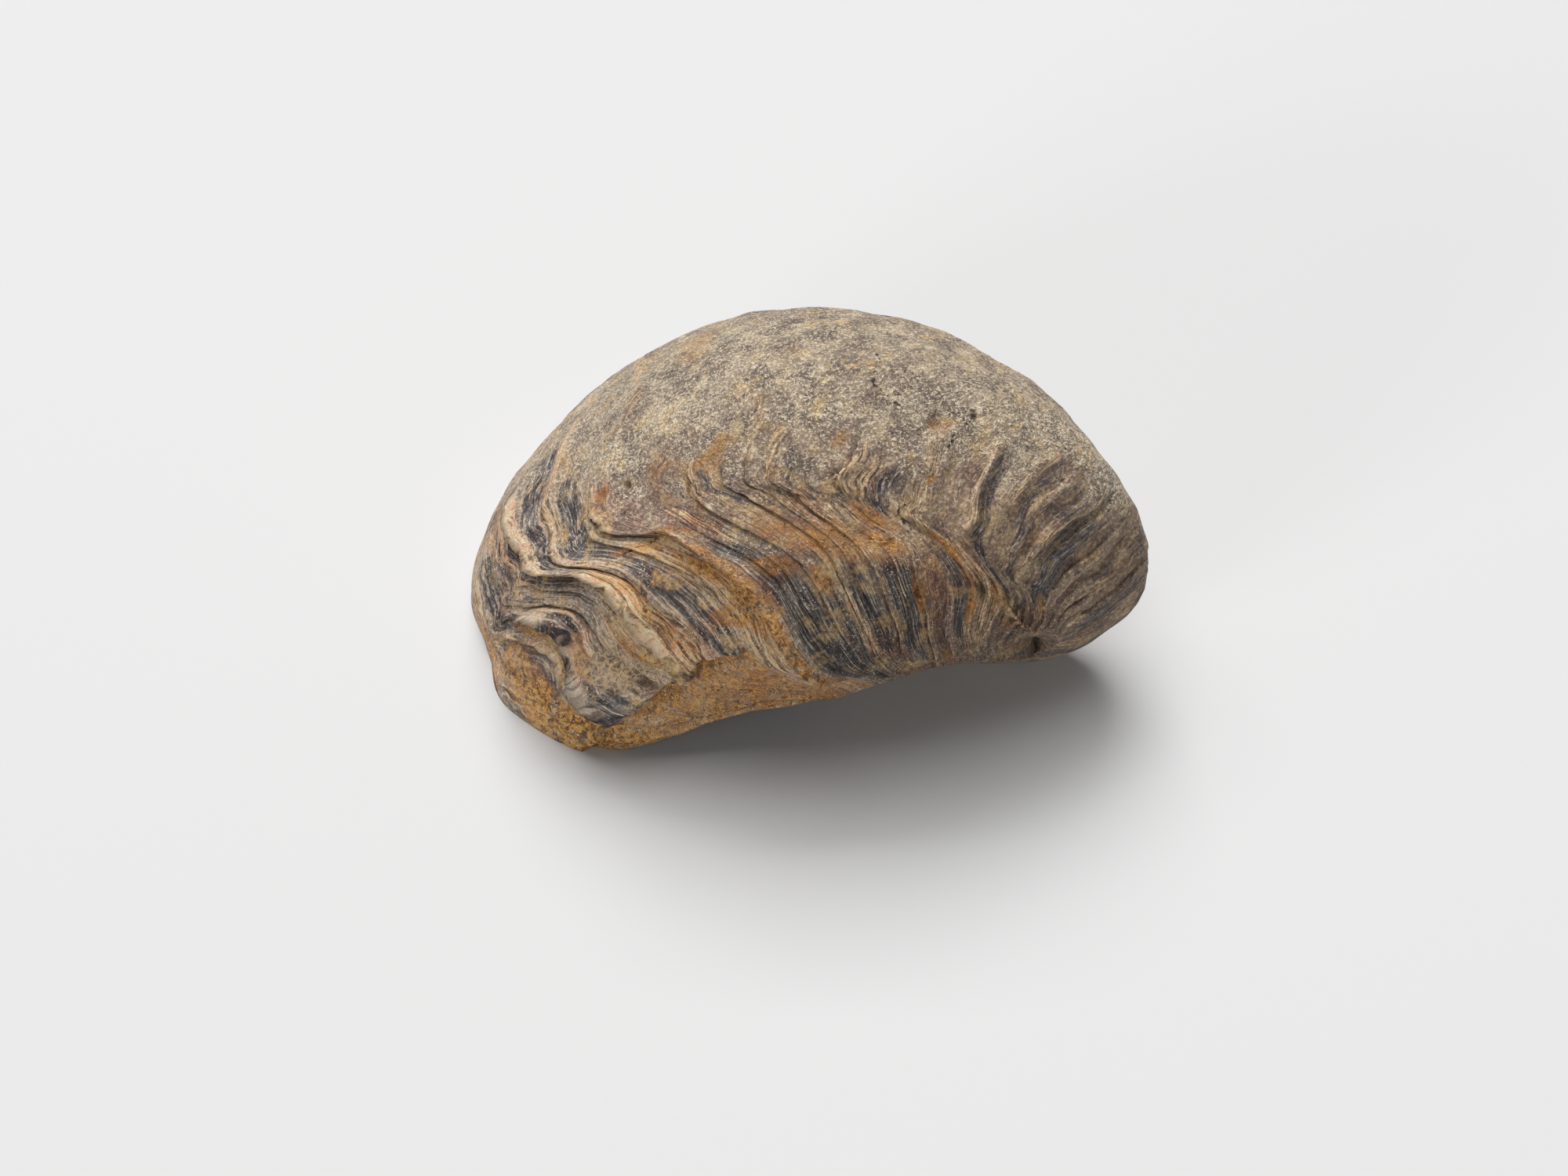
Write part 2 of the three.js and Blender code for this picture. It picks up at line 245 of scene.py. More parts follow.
# %% Ledges
LEDGES = [
    (0.9, 0.3, 3.2, [(0.4, .035), (1.1, .035), (1.6, .045), (2.0, .062), (2.6, .040), (3.2, .025)]),
    (0.8, 0.4, 4.6, [(0.4, .095), (1.1, .085), (1.5, .088), (1.9, .112), (2.4, .100),
        (3.0, .062), (4.4, .055)]),
    (2.0, 0.9, 3.4, [(0.9, .118), (1.35, .117), (1.57, .131), (1.80, .150), (2.1, .153),
        (2.4, .155), (2.8, .130), (3.2, .105)]),
    (0.7, 1.3, 5.2, [(1.3, .200), (2.0, .202), (2.5, .192), (3.0, .165), (4.0, .148), (5.2, .125)]),
    (0.7, 1.2, 5.4, [(1.3, .232), (2.2, .245), (3.0, .240), (4.0, .205), (5.0, .165)]),
    (1.7, 0.9, 5.6, [(0.9, .268), (1.3, .270), (2.0, .285), (2.5, .298), (3.0, .295),
        (4.0, .278), (5.0, .232)]),
    (0.7, 1.3, 5.4, [(1.3, .325), (2.0, .332), (2.6, .335), (3.0, .342), (3.6, .352),
        (4.5, .350), (5.4, .335)]),
    (0.6, 0.3, 4.4, [(0.3, .420), (0.8, .450), (1.5, .460), (2.4, .445), (2.8, .455),
        (3.3, .472), (4.2, .470)]),
    (2.0, 0.6, 4.6, [(0.2, .545), (0.6, .570), (1.1, .576), (1.6, .566), (2.15, .566),
        (2.45, .580), (2.6, .585), (2.72, .530), (2.85, .508), (3.3, .508), (4.2, .505)]),
    (0.5, 0.2, 3.2, [(0.2, .650), (1.0, .668), (1.8, .660), (2.4, .640), (3.0, .660)]),
    (0.45, 0.3, 2.4, [(0.3, .705), (1.0, .715), (1.6, .700), (2.2, .700)]),
    (0.8, 0.1, 4.3, [(0.1, .770), (1.0, .775), (1.5, .785), (1.9, .782), (2.3, .765),
        (2.8, .745), (3.2, .770), (4.0, .800)]),
    (0.9, 0.1, 4.6, [(0.1, .850), (0.9, .865), (1.3, .885), (2.0, .902), (2.4, .912),
        (3.0, .885), (4.0, .890)]),
    (0.5, 0.1, 4.8, [(0.1, .930), (1.2, .955), (2.2, .960), (3.0, .955), (4.5, .960)]),
    (0.9, 0.1, 4.8, [(0.1, .980), (0.8, 1.00), (1.1, 1.025), (1.75, 1.04), (2.6, 1.02),
        (3.2, 1.035), (4.2, 1.03)]),
    (0.6, 0.1, 4.6, [(0.1, 1.08), (1.0, 1.11), (2.0, 1.13), (2.6, 1.10), (3.2, 1.13), (4.2, 1.13)]),
    (1.0, 0.0, 4.9, [(0.0, 1.13), (0.5, 1.16), (1.0, 1.20), (1.4, 1.205), (1.7, 1.195),
        (2.0, 1.205), (2.4, 1.23), (3.2, 1.22)]),
    (0.7, 0.2, 4.8, [(0.0, 1.29), (1.0, 1.31), (2.0, 1.33), (2.6, 1.33), (3.0, 1.37),
        (3.4, 1.39), (4.0, 1.40)]),
    (0.9, 0.1, 5.4, [(0.0, 1.45), (1.0, 1.46), (2.0, 1.455), (2.5, 1.45), (3.0, 1.46),
        (4.0, 1.47), (5.3, 1.48)]),
    (0.5, 0.3, 4.6, [(0.0, 1.54), (2.0, 1.54), (4.0, 1.54)]),
    (0.8, 0.3, 5.4, [(0.0, 1.62), (2.0, 1.62), (5.0, 1.63)]),
    (0.5, 0.4, 5.0, [(0.0, 1.71), (5.0, 1.71)]),
    (0.9, 0.5, 5.9, [(0.0, 1.80), (2.8, 1.80), (4.2, 1.86), (5.8, 1.92)]),
    (0.7, 0.8, 5.6, [(0.0, 1.89), (2.8, 1.88), (3.5, 1.91), (4.7, 1.98), (5.8, 2.04)]),
    (0.7, 1.0, 6.0, [(0.0, 2.00), (2.8, 2.00), (4.0, 2.07), (5.8, 2.16)]),
    (0.9, 1.5, 5.8, [(0.0, 2.14), (2.6, 2.13), (4.2, 2.22), (5.8, 2.30)]),
    (0.6, 1.7, 5.9, [(0.0, 2.26), (2.0, 2.26), (4.2, 2.36), (5.8, 2.42)]),
    (0.7, 2.0, 6.0, [(0.0, 2.36), (2.0, 2.37), (4.4, 2.46), (5.8, 2.53)]),
    (0.6, 2.5, 6.0, [(0.0, 2.55), (2.5, 2.56), (6.0, 2.66)]),
]
# In radians of age: how deep a chip is, and how far apart two edges always stay.
CHIP_SIZE = 0.0105
LEDGE_SPACING = 0.021


def ragged(place, spacing, seed):
    """Seeded 1-D noise in -1..1 along `place`: random knots `spacing` apart, joined softly."""
    knots = np.random.default_rng(seed).uniform(-1, 1, 512)
    i = np.floor(place / spacing).astype(int)
    f = place / spacing - i
    f = f * f * (3 - 2 * f)
    return knots[i % 512] * (1 - f) + knots[(i + 1) % 512] * f


def ledge_ages(place, chipping=1.0):
    """Age of every ledge at each place, one row per ledge, in order and never touching.

    Each is its own line, smoothed, plus chips at three scales that fade at the far side.
    """
    dense = np.linspace(-1, 13, 1401)
    kernel = np.hanning(17) / np.hanning(17).sum()
    inside = smooth(0.0, 0.3, place) * smooth(6.5, 5.0, place)
    rows = []
    for i, (height, _, _, line) in enumerate(LEDGES):
        at, age = zip(*line)
        curve = np.convolve(np.pad(np.interp(dense, at, age), 8, mode="edge"), kernel, "valid")
        chips = 0.25 * ragged(place, 0.40, 40 + i) + 0.22 * ragged(place, 0.14, 90 + i)
        chips = chips + 0.22 * ragged(place, 0.055, 140 + i)
        size = CHIP_SIZE * np.minimum(height, 1.2) * (1 + 0.6 * age[0] / 2)
        rows.append(np.interp(place, dense, curve) + chipping * size * chips * inside)
    rows = np.array(rows)
    for i in range(1, len(rows)):
        rows[i] = np.maximum(rows[i], rows[i - 1] + LEDGE_SPACING)
    return rows


print("ledges", len(LEDGES), "highest", max(height for height, *_ in LEDGES), "mm")

# %% [markdown]
# ## How much of each ledge shows
#
# On the real shell no ledge is equally high all along. Most fade out on the worn dome
# and by the hinge, and sink where they cross the furrow. Each gets its own array of
# heights, one value per column of the grid. Columns are closer together on the near
# side, where the shell bends most and is seen best.

# %% Heights of the ledges
COLUMNS_NEAR, COLUMNS_FAR, COLUMNS_BEAK = 205, 62, 26
TALLEST = 2.0

place_line = np.concatenate([
    np.linspace(0, 6, COLUMNS_NEAR, endpoint=False),
    np.linspace(6, 10, COLUMNS_FAR, endpoint=False),
    np.linspace(10, 12, COLUMNS_BEAK, endpoint=False)])
edges = ledge_ages(place_line)
calm = ledge_ages(place_line, 0.0)
nominal = np.array([np.mean([a for _, a in line]) for *_, line in LEDGES])
nominal = np.maximum.accumulate(nominal + 1e-4 * np.arange(len(nominal)))
heights = np.array([height for height, *_ in LEDGES])


def between(first, last):
    """1 from place `first` to place `last`, with soft ends."""
    started = smooth(first - 0.3, first + 0.3, place_line)
    return started * (1 - smooth(last - 0.8, last + 0.4, place_line))


shown = []
for i, (height, first, last, line) in enumerate(LEDGES):
    near = between(first, last)
    start_age = line[0][1]
    if start_age > 1.0:
        # Old ledges stop short of the hinge and are low in the furrow.
        near = near * smooth(0.1, 0.7, place_line)
        near = near * (1 - 0.5 * smooth(1.9, 2.4, place_line) * smooth(4.0, 3.4, place_line))
    if start_age > 1.35:
        # The oldest are low all along the wing.
        near = near * (0.35 + 0.65 * smooth(1.2, 2.4, place_line))
    if 0.6 < start_age < 1.3:
        # Those of middle age are low in the furrow.
        near = near * (1 - 0.55 * smooth(1.7, 2.1, place_line) * smooth(3.9, 3.3, place_line))
    if height >= TALLEST:
        # The two tallest sink past the furrow.
        near = near * (1 - 0.65 * smooth(2.2, 2.9, place_line))
    fade = 0.68 + 0.32 * ragged(place_line, 0.9, 200 + i)
    fade = fade + 0.12 * ragged(place_line, 0.25, 150 + i)
    shown.append(height * near * (fade if height < 1.2 else 0.7 + 0.5 * fade))
print("columns", len(place_line), "ledges that show over 1 mm", sum(s.max() > 1 for s in shown))

# %% [markdown]
# ## Grid of the outer surface
#
# One row per growth line. Evenly spaced rows would cut across the ledges and leave them
# saw-toothed. So rows come in fours at each ledge (below it, at its foot, at its edge
# and above it) and evenly between ledges, and a ragged ledge always lies along the
# grid. The edge row is drawn out over the foot row, which gives a thin dark gap.

# %% Grid
LAST_AGE = 2.80
BEAK_ROUND = 0.45
BEAK_ROWS = 24
FACE = 0.0035
LIP_ROW = 0.0040
TUCK = 0.010
row_age, row_tucked, row_ledge, row_fall = [], [], [], []


def row_step(age):
    """Wanted spacing of rows in radians: fine near the lip, wider towards the beak."""
    return 0.0062 + 0.0085 * smooth(0.5, 0.9, age) + 0.012 * smooth(1.6, 2.4, age)


def add_row(age, tucked, ledge, fall):
    """Keeps one row: its ages, the ages it is drawn at, its ledge, and how far past it is."""
    row_age.append(age)
    row_tucked.append(tucked)
    row_ledge.append(ledge)
    row_fall.append(fall)


zero = np.zeros_like(place_line)
stops = [zero, *edges, zero + LAST_AGE]
plain_stops = [0.0, *nominal, LAST_AGE]
add_row(zero, zero, -1, 1.0)
for i, (low, high) in enumerate(zip(stops, stops[1:])):
    start = low + (LIP_ROW + FACE if i > 0 else 0.0)
    end = high - (LIP_ROW + FACE if i + 1 < len(stops) - 1 else 0.0)
    if i > 0:
        crisp = 1 - smooth(0.9, 1.5, low)
        overhang = (TUCK + FACE) * crisp * np.clip(shown[i - 1] / 1.1, 0, 1.3)
        add_row(low - FACE, low, i - 2, 1.0)
        add_row(low + FACE, low + FACE - overhang, i - 1, 0.0)
    count = max(2, int(round((plain_stops[i + 1] - plain_stops[i]) / row_step(plain_stops[i]))))
    for f in np.linspace(0, 1, count):
        if i > 0 or f > 0:
            here = start + (end - start) * f
            add_row(here, here, i - 1, (here - low) / (high - low))
for f in np.linspace(0, 1, BEAK_ROWS)[1:] ** 0.9:
    age = LAST_AGE + (BEAK_AGE - BEAK_ROUND * 0.06 - LAST_AGE) * f
    add_row(zero + age, zero + age, len(LEDGES), 1.0)

ages = np.array(row_age)
tucked = np.array(row_tucked)
fall = np.array([np.broadcast_to(f, place_line.shape) for f in row_fall])
ledge = np.array(row_ledge)
places = np.broadcast_to(place_line, ages.shape)
print("outer rows", len(row_age), "columns", len(place_line))

# %% [markdown]
# ## Straightened ages
#
# Colours and streaks have to run along the ledges, chips and all, and a broken face has
# to show the edges of its sheets. The plain age does neither. So a second age is
# worked out for the UV map, in which every ledge lies at one value. The same cell
# rounds off the beak, where all growth lines close up, and makes the smooth base.

# %% Straightened ages and base
FACE_SPREAD = 0.045


def sheet_age(age, lamella):
    """Age straightened so that every ledge lies at one value.

    Each stretch between two calm ledge lines is scaled to its mean width, and every
    ledge passed adds its own thickness, FACE_SPREAD radians for each mm of height.
    """
    bounds = [0 * place_line, *calm, 0 * place_line + LAST_AGE, 0 * place_line + BEAK_AGE]
    values = [0.0, *nominal, LAST_AGE, BEAK_AGE]
    total = 0.0
    for low, high, a, b in zip(bounds, bounds[1:], values, values[1:]):
        total = total + (b - a) * np.clip((age - low) / (high - low), 0, 1)
    spread = FACE_SPREAD * heights * (1 - smooth(0.9, 1.4, nominal))
    passed = np.concatenate([[0.0], np.cumsum(spread), [spread.sum()]])
    return total + passed[lamella + 1][:, None]


def drawn_in(line, age):
    """Draws the last rows towards their middle by sqrt(1 - f^2), which rounds the beak off."""
    f = np.clip(1 - (BEAK_AGE - age) / BEAK_ROUND, 0, 1)
    middle = line.mean(-2, keepdims=True)
    return middle + (line - middle) * np.sqrt(1 - f ** 2)[..., None]


plain = sheet_age(ages, ledge)
base = drawn_in(on_line(ages, places), ages)
across = np.roll(base, -1, 1) - np.roll(base, 1, 1)
normal = np.cross(np.gradient(base, axis=0), across)
normal /= np.linalg.norm(normal, axis=-1, keepdims=True) + 1e-12
print("straightened age", plain.min().round(2), "to", plain.max().round(2))

# %% [markdown]
# ## Relief of the sheets
#
# The relief is a height in millimetres, laid on along the normal. This first part is
# the broken sheets: each is highest at its edge and falls away behind it. Two more
# arrays come from the same loop and are used for colour: the fresh line along each
# edge, and a painted shadow in the gap below it.

# %% Sheets
FAR_LEDGES = 0.35
THICK_SHEET = 1.5

shell = smooth(0, 0.25, places) * smooth(10, 9.7, places)
far_fade = smooth(7.8, 9.0, place_line) * (1 - smooth(9.6, 10, place_line))
lamellae = np.zeros_like(ages)
edge_line = np.zeros_like(ages)
ledge_shadow = np.zeros_like(ages)
for i, height in enumerate(heights):
    rows = ledge == i
    sharp = np.clip(1 - fall[rows], 0, 1) ** 1.3
    rounded = np.exp(-((fall[rows] - 0.22) / 0.30) ** 2)
    profile = sharp + (rounded - sharp) * smooth(0.9, 1.5, ages[rows])
    lamellae[rows] = np.maximum(shown[i], height * FAR_LEDGES * far_fade) * profile
    fresh = 0.5 if height > THICK_SHEET else 1.0
    edge_line[rows] = fresh * np.clip(1.4 * shown[i], 0, 1) * np.exp(-(fall[rows] / 0.13) ** 2)
    # Painted shadow: a dark band on the younger shell just under each ledge's edge.
    below = ledge == i - 1
    crisp = 1 - 0.7 * smooth(0.9, 1.4, ages[below])
    reach = 0.016 if height > THICK_SHEET else 0.009
    distance = (edges[i] - ages[below]) / reach
    ledge_shadow[below] = crisp * np.clip(shown[i], 0, 1.4) * np.exp(-distance ** 2)
print("sheets stand up to", lamellae.max().round(2), "mm proud")

# %% [markdown]
# ## Wear, ridges and noise
#
# The dome is worn smooth, and only the thickest edges are left on it as low, winding
# ridges, which fan out from the layered side. Wear starts further up at some ages than
# at others, and its border is mottled. A modifier's noise is not at hand inside numpy,
# so a small lattice noise is written out here.

# %% Noise and distance
MM_PER_AGE, MM_PER_PLACE = 40.0, 10.0


def line_distance(age, place, points):
    """Distance in mm from a broken line of (place, age) points, on the unrolled shell."""
    p = np.stack([place * MM_PER_PLACE, age * MM_PER_AGE], -1)
    nearest = np.full(age.shape, 9.0)
    for (p0, a0), (p1, a1) in zip(points, points[1:]):
        a = np.array([p0 * MM_PER_PLACE, a0 * MM_PER_AGE])
        b = np.array([p1 * MM_PER_PLACE, a1 * MM_PER_AGE])
        t = np.clip(((p - a) @ (b - a)) / ((b - a) @ (b - a)), 0, 1)[..., None]
        nearest = np.minimum(nearest, np.linalg.norm(p - a - t * (b - a), axis=-1))
    return nearest


def lattice_noise(p, size, seed):
    """Value noise in -1..1: random values on a cubic lattice `size` apart, joined softly."""
    q = p / size + 100.0
    i = np.floor(q).astype(np.int64)
    f = q - i
    f = f * f * (3 - 2 * f)
    total = 0.0
    for corner in range(8):
        offset = np.array([corner & 1, (corner >> 1) & 1, corner >> 2])
        j = i + offset
        h = (j[..., 0] * 73856093) ^ (j[..., 1] * 19349663) ^ (j[..., 2] * 83492791)
        h = h ^ (seed * 2654435)
        h = (h ^ (h >> 13)) * 1274126177
        value = ((h ^ (h >> 16)) & 0xFFFF) / 32767.5 - 1.0
        weight = np.where(offset, f, 1 - f).prod(-1)
        total = total + value * weight
    return total


print("noise sample", lattice_noise(base[:1, :3], 4.0, 5).round(2))

# %% Wear and ridges
RIDGES = [
    [(5.4, .89), (5.0, .93), (4.3, .96)],
    [(4.8, 1.00), (4.2, 1.02), (3.2, 1.04)],
    [(4.7, 1.24), (4.1, 1.22), (3.4, 1.17)],
    [(5.1, 1.46), (4.8, 1.44), (4.0, 1.47)],
    [(5.3, 1.64), (4.7, 1.63), (4.1, 1.63), (3.6, 1.64)],
    [(5.6, 1.82), (5.0, 1.79), (4.5, 1.80)],
    [(6.7, .44), (5.6, .52), (5.3, .49)],
    [(5.9, .33), (5.4, .355), (4.8, .36)],
    [(5.6, .21), (5.3, .225), (4.9, .24)],
    [(5.7, 2.11), (4.7, 2.03), (3.5, 1.91)],
    [(5.4, 2.49), (4.4, 2.45), (2.6, 2.32)],
    [(3.2, 1.43), (2.9, 1.49), (2.5, 1.54), (2.0, 1.60), (1.6, 1.84), (1.5, 2.10)],
]
RIDGE_WIDTH = 0.75
# Wear starts at these places, at these ages.
WEAR_AGES = [0, 0.3, 0.6, 0.9, 1.2, 1.5, 2.0, 2.6, 3.0]
WEAR_PLACES = [5.9, 5.7, 4.1, 4.0, 4.3, 4.4, 5.2, 6.2, 6.9]

mottle = 0.7 * lattice_noise(base, 4.0, 5) + 0.6 * lattice_noise(base, 1.7, 15)
mottle = mottle + 0.35 * lattice_noise(base, 0.8, 16)
worn = smooth(-0.6, 0.9, places - np.interp(ages, WEAR_AGES, WEAR_PLACES) + mottle)
worn = worn * (1 - smooth(7.8, 9.0, places + mottle)) * smooth(3.4, 2.8, ages)
wander = 0.012 * lattice_noise(base, 1.8, 17)
ridge_line = np.min([line_distance(ages + wander, places, line) for line in RIDGES], axis=0)
ridge = np.exp(-(ridge_line / RIDGE_WIDTH) ** 2)
worn = worn * (1 - 0.55 * ridge)
print("worn share", worn.mean().round(2), "ridges", len(RIDGES))

# %% [markdown]
# ## Dents, break and outer points
#
# Dents and small pits are where the shell grew round a pebble or was knocked. At the
# near corner of the lip a whole wedge of sheets has snapped off, and its rough face
# is now full of silt. All parts of the relief are added up and laid on the base.

# %% Dents and break
# Age, place, radius in mm, depth in mm.
DENTS = [
    (0.140, 1.95, 2.6, 1.3), (0.225, 1.25, 3.4, 1.2), (0.300, 1.60, 2.2, 0.8),
    (0.530, 1.55, 2.4, 0.8), (0.520, 2.60, 2.4, 0.8), (0.060, 2.90, 2.8, 0.9),
    (1.130, 2.55, 2.4, 0.7), (0.700, 8.20, 4.0, 0.8), (1.500, 7.40, 3.2, 0.6),
    (0.613, 4.36, 0.55, 0.8), (0.540, 4.35, 0.8, 0.5), (1.423, 5.30, 1.1, 1.0),
    (1.504, 5.58, 0.6, 0.7), (0.150, 1.40, 0.7, 0.9), (1.185, 1.62, 0.7, 0.6),
]
SNAP_DEPTH = 1.3
SNAP_PLACE, SNAP_AGE = 1.22, 0.43

torn = 0.05 * ragged(4.0 * ages, 0.12, 31) + 0.03 * ragged(4.0 * ages, 0.05, 32)
soft = 0.02 + 0.13 * smooth(1.1, 0.5, places)
snapped = smooth(SNAP_PLACE + 0.02 + torn, SNAP_PLACE - 0.015 + torn, places)
snapped = snapped * smooth(SNAP_AGE + soft, SNAP_AGE - soft, ages + 0.1 * torn)
dents = -SNAP_DEPTH * snapped * smooth(0.0, 0.9, places)
for age, place, radius, depth in DENTS:
    distance = np.linalg.norm(base - on_line(age, place), axis=-1)
    dents -= depth * np.exp(-(distance / radius) ** 2)
print("dents", len(DENTS), "snapped points", int((snapped > 0.5).sum()))

# %% Outer points
LIGAMENT_GROOVE = 1.4
LUMP_HEIGHT = 0.16
SHEET_HEIGHT = 0.16
SHEETS_PER_AGE = 26
RIDGE_HEIGHT = 0.40


def lump(p):
    """Broad worn unevenness: products of slow sine waves."""
    x, y, z = p[..., 0], p[..., 1], p[..., 2]
    return LUMP_HEIGHT * (np.sin(0.43 * x + 0.21 * z + 1.0) * np.sin(0.37 * y - 0.29 * z)
                          + 0.6 * np.sin(0.81 * x - 0.33 * y + 2.0) * np.sin(0.74 * z + 0.52 * y))


sheets = plain * SHEETS_PER_AGE + 0.35 * lattice_noise(base, 6.0, 6)
sheets = (0.5 + 0.5 * np.sin(2 * np.pi * sheets)) * (0.5 + 0.5 * lattice_noise(base, 4.5, 7))
sheets = sheets * smooth(0.01, 0.04, ages) * smooth(3.6, 2.6, ages)
grain = 0.07 * lattice_noise(base, 2.2, 8) + 0.04 * lattice_noise(base, 0.8, 9)
fine = SHEET_HEIGHT * sheets * (1 - 0.8 * worn) + grain * (0.6 + 0.6 * worn)
groove = -LIGAMENT_GROOVE * np.sin(np.pi * (places - HINGE_END) / 2) ** 2
groove = np.where(places > HINGE_END, groove, 0) * smooth(2.5, 1.0, ages)
relief = lamellae + RIDGE_HEIGHT * ridge + dents + lump(base) * smooth(0, 0.06, ages)
relief = (relief + fine * smooth(0, 0.05, ages)) * shell + groove
drawn_ages = tucked * shell + ages * (1 - shell)
points = drawn_in(on_line(drawn_ages, places), ages) + normal * relief[..., None]
points[..., 2] = np.maximum(points[..., 2], 0.0)
print("relief from", relief.min().round(2), "to", relief.max().round(2), "mm")

# %% [markdown]
# ## Hollow
#
# The inside where the animal lay: smooth, with faint growth lines and the round scar
# of its one closing muscle. A Solidify modifier could give an inside too, but with
# every ledge pressed through it, and the real one is smooth. So it is its own grid, a
# set of young growth lines drawn inwards by the wall and closed at the top. It is never
# seen in the main view, but the valve can be turned over, so it is finished.

# %% Hollow
HOLLOW_ROWS = 32
HOLLOW_AGE = 1.75
WALL = 0.15
SCAR_AGE, SCAR_PLACE, SCAR_RADIUS = 0.62, 6.6, 5.0

q = (np.arange(HOLLOW_ROWS) / HOLLOW_ROWS)[:, None] + 0 * place_line
hollow_line = on_line(HOLLOW_AGE * q, np.broadcast_to(place_line, q.shape))
middle = hollow_line.mean(1, keepdims=True)
middle[..., 2] *= smooth(0, 0.2, q[:, :1])
hollow = middle + (hollow_line - middle) * ((1 - WALL) * np.sqrt(1 - q ** 4))[..., None]
scar_row = int(HOLLOW_ROWS * SCAR_AGE / HOLLOW_AGE)
scar_column = np.abs(place_line - SCAR_PLACE).argmin()
scar_out = np.linalg.norm(hollow - hollow[scar_row, scar_column], axis=-1)
scar = smooth(SCAR_RADIUS + 0.5, SCAR_RADIUS - 0.5, scar_out)
print("hollow top", hollow[..., 2].max().round(2), "mm, scar points", int((scar > 0.5).sum()))

# %% [markdown]
# ## Where each colour goes
#
# Colour follows growth. It could be brushed on as vertex paint, but a rule is easier to
# change. A ribbon is a tone, the first and last place it shows at, its points as
# (place, lower age, upper age), and a strength. Tones are cream (fresh chalky sheet),
# slate (dark dense sheet), tan, mauve and ochre (iron stain and clay). The material
# breaks the ribbons up into streaks, so their edges are never ruled lines.

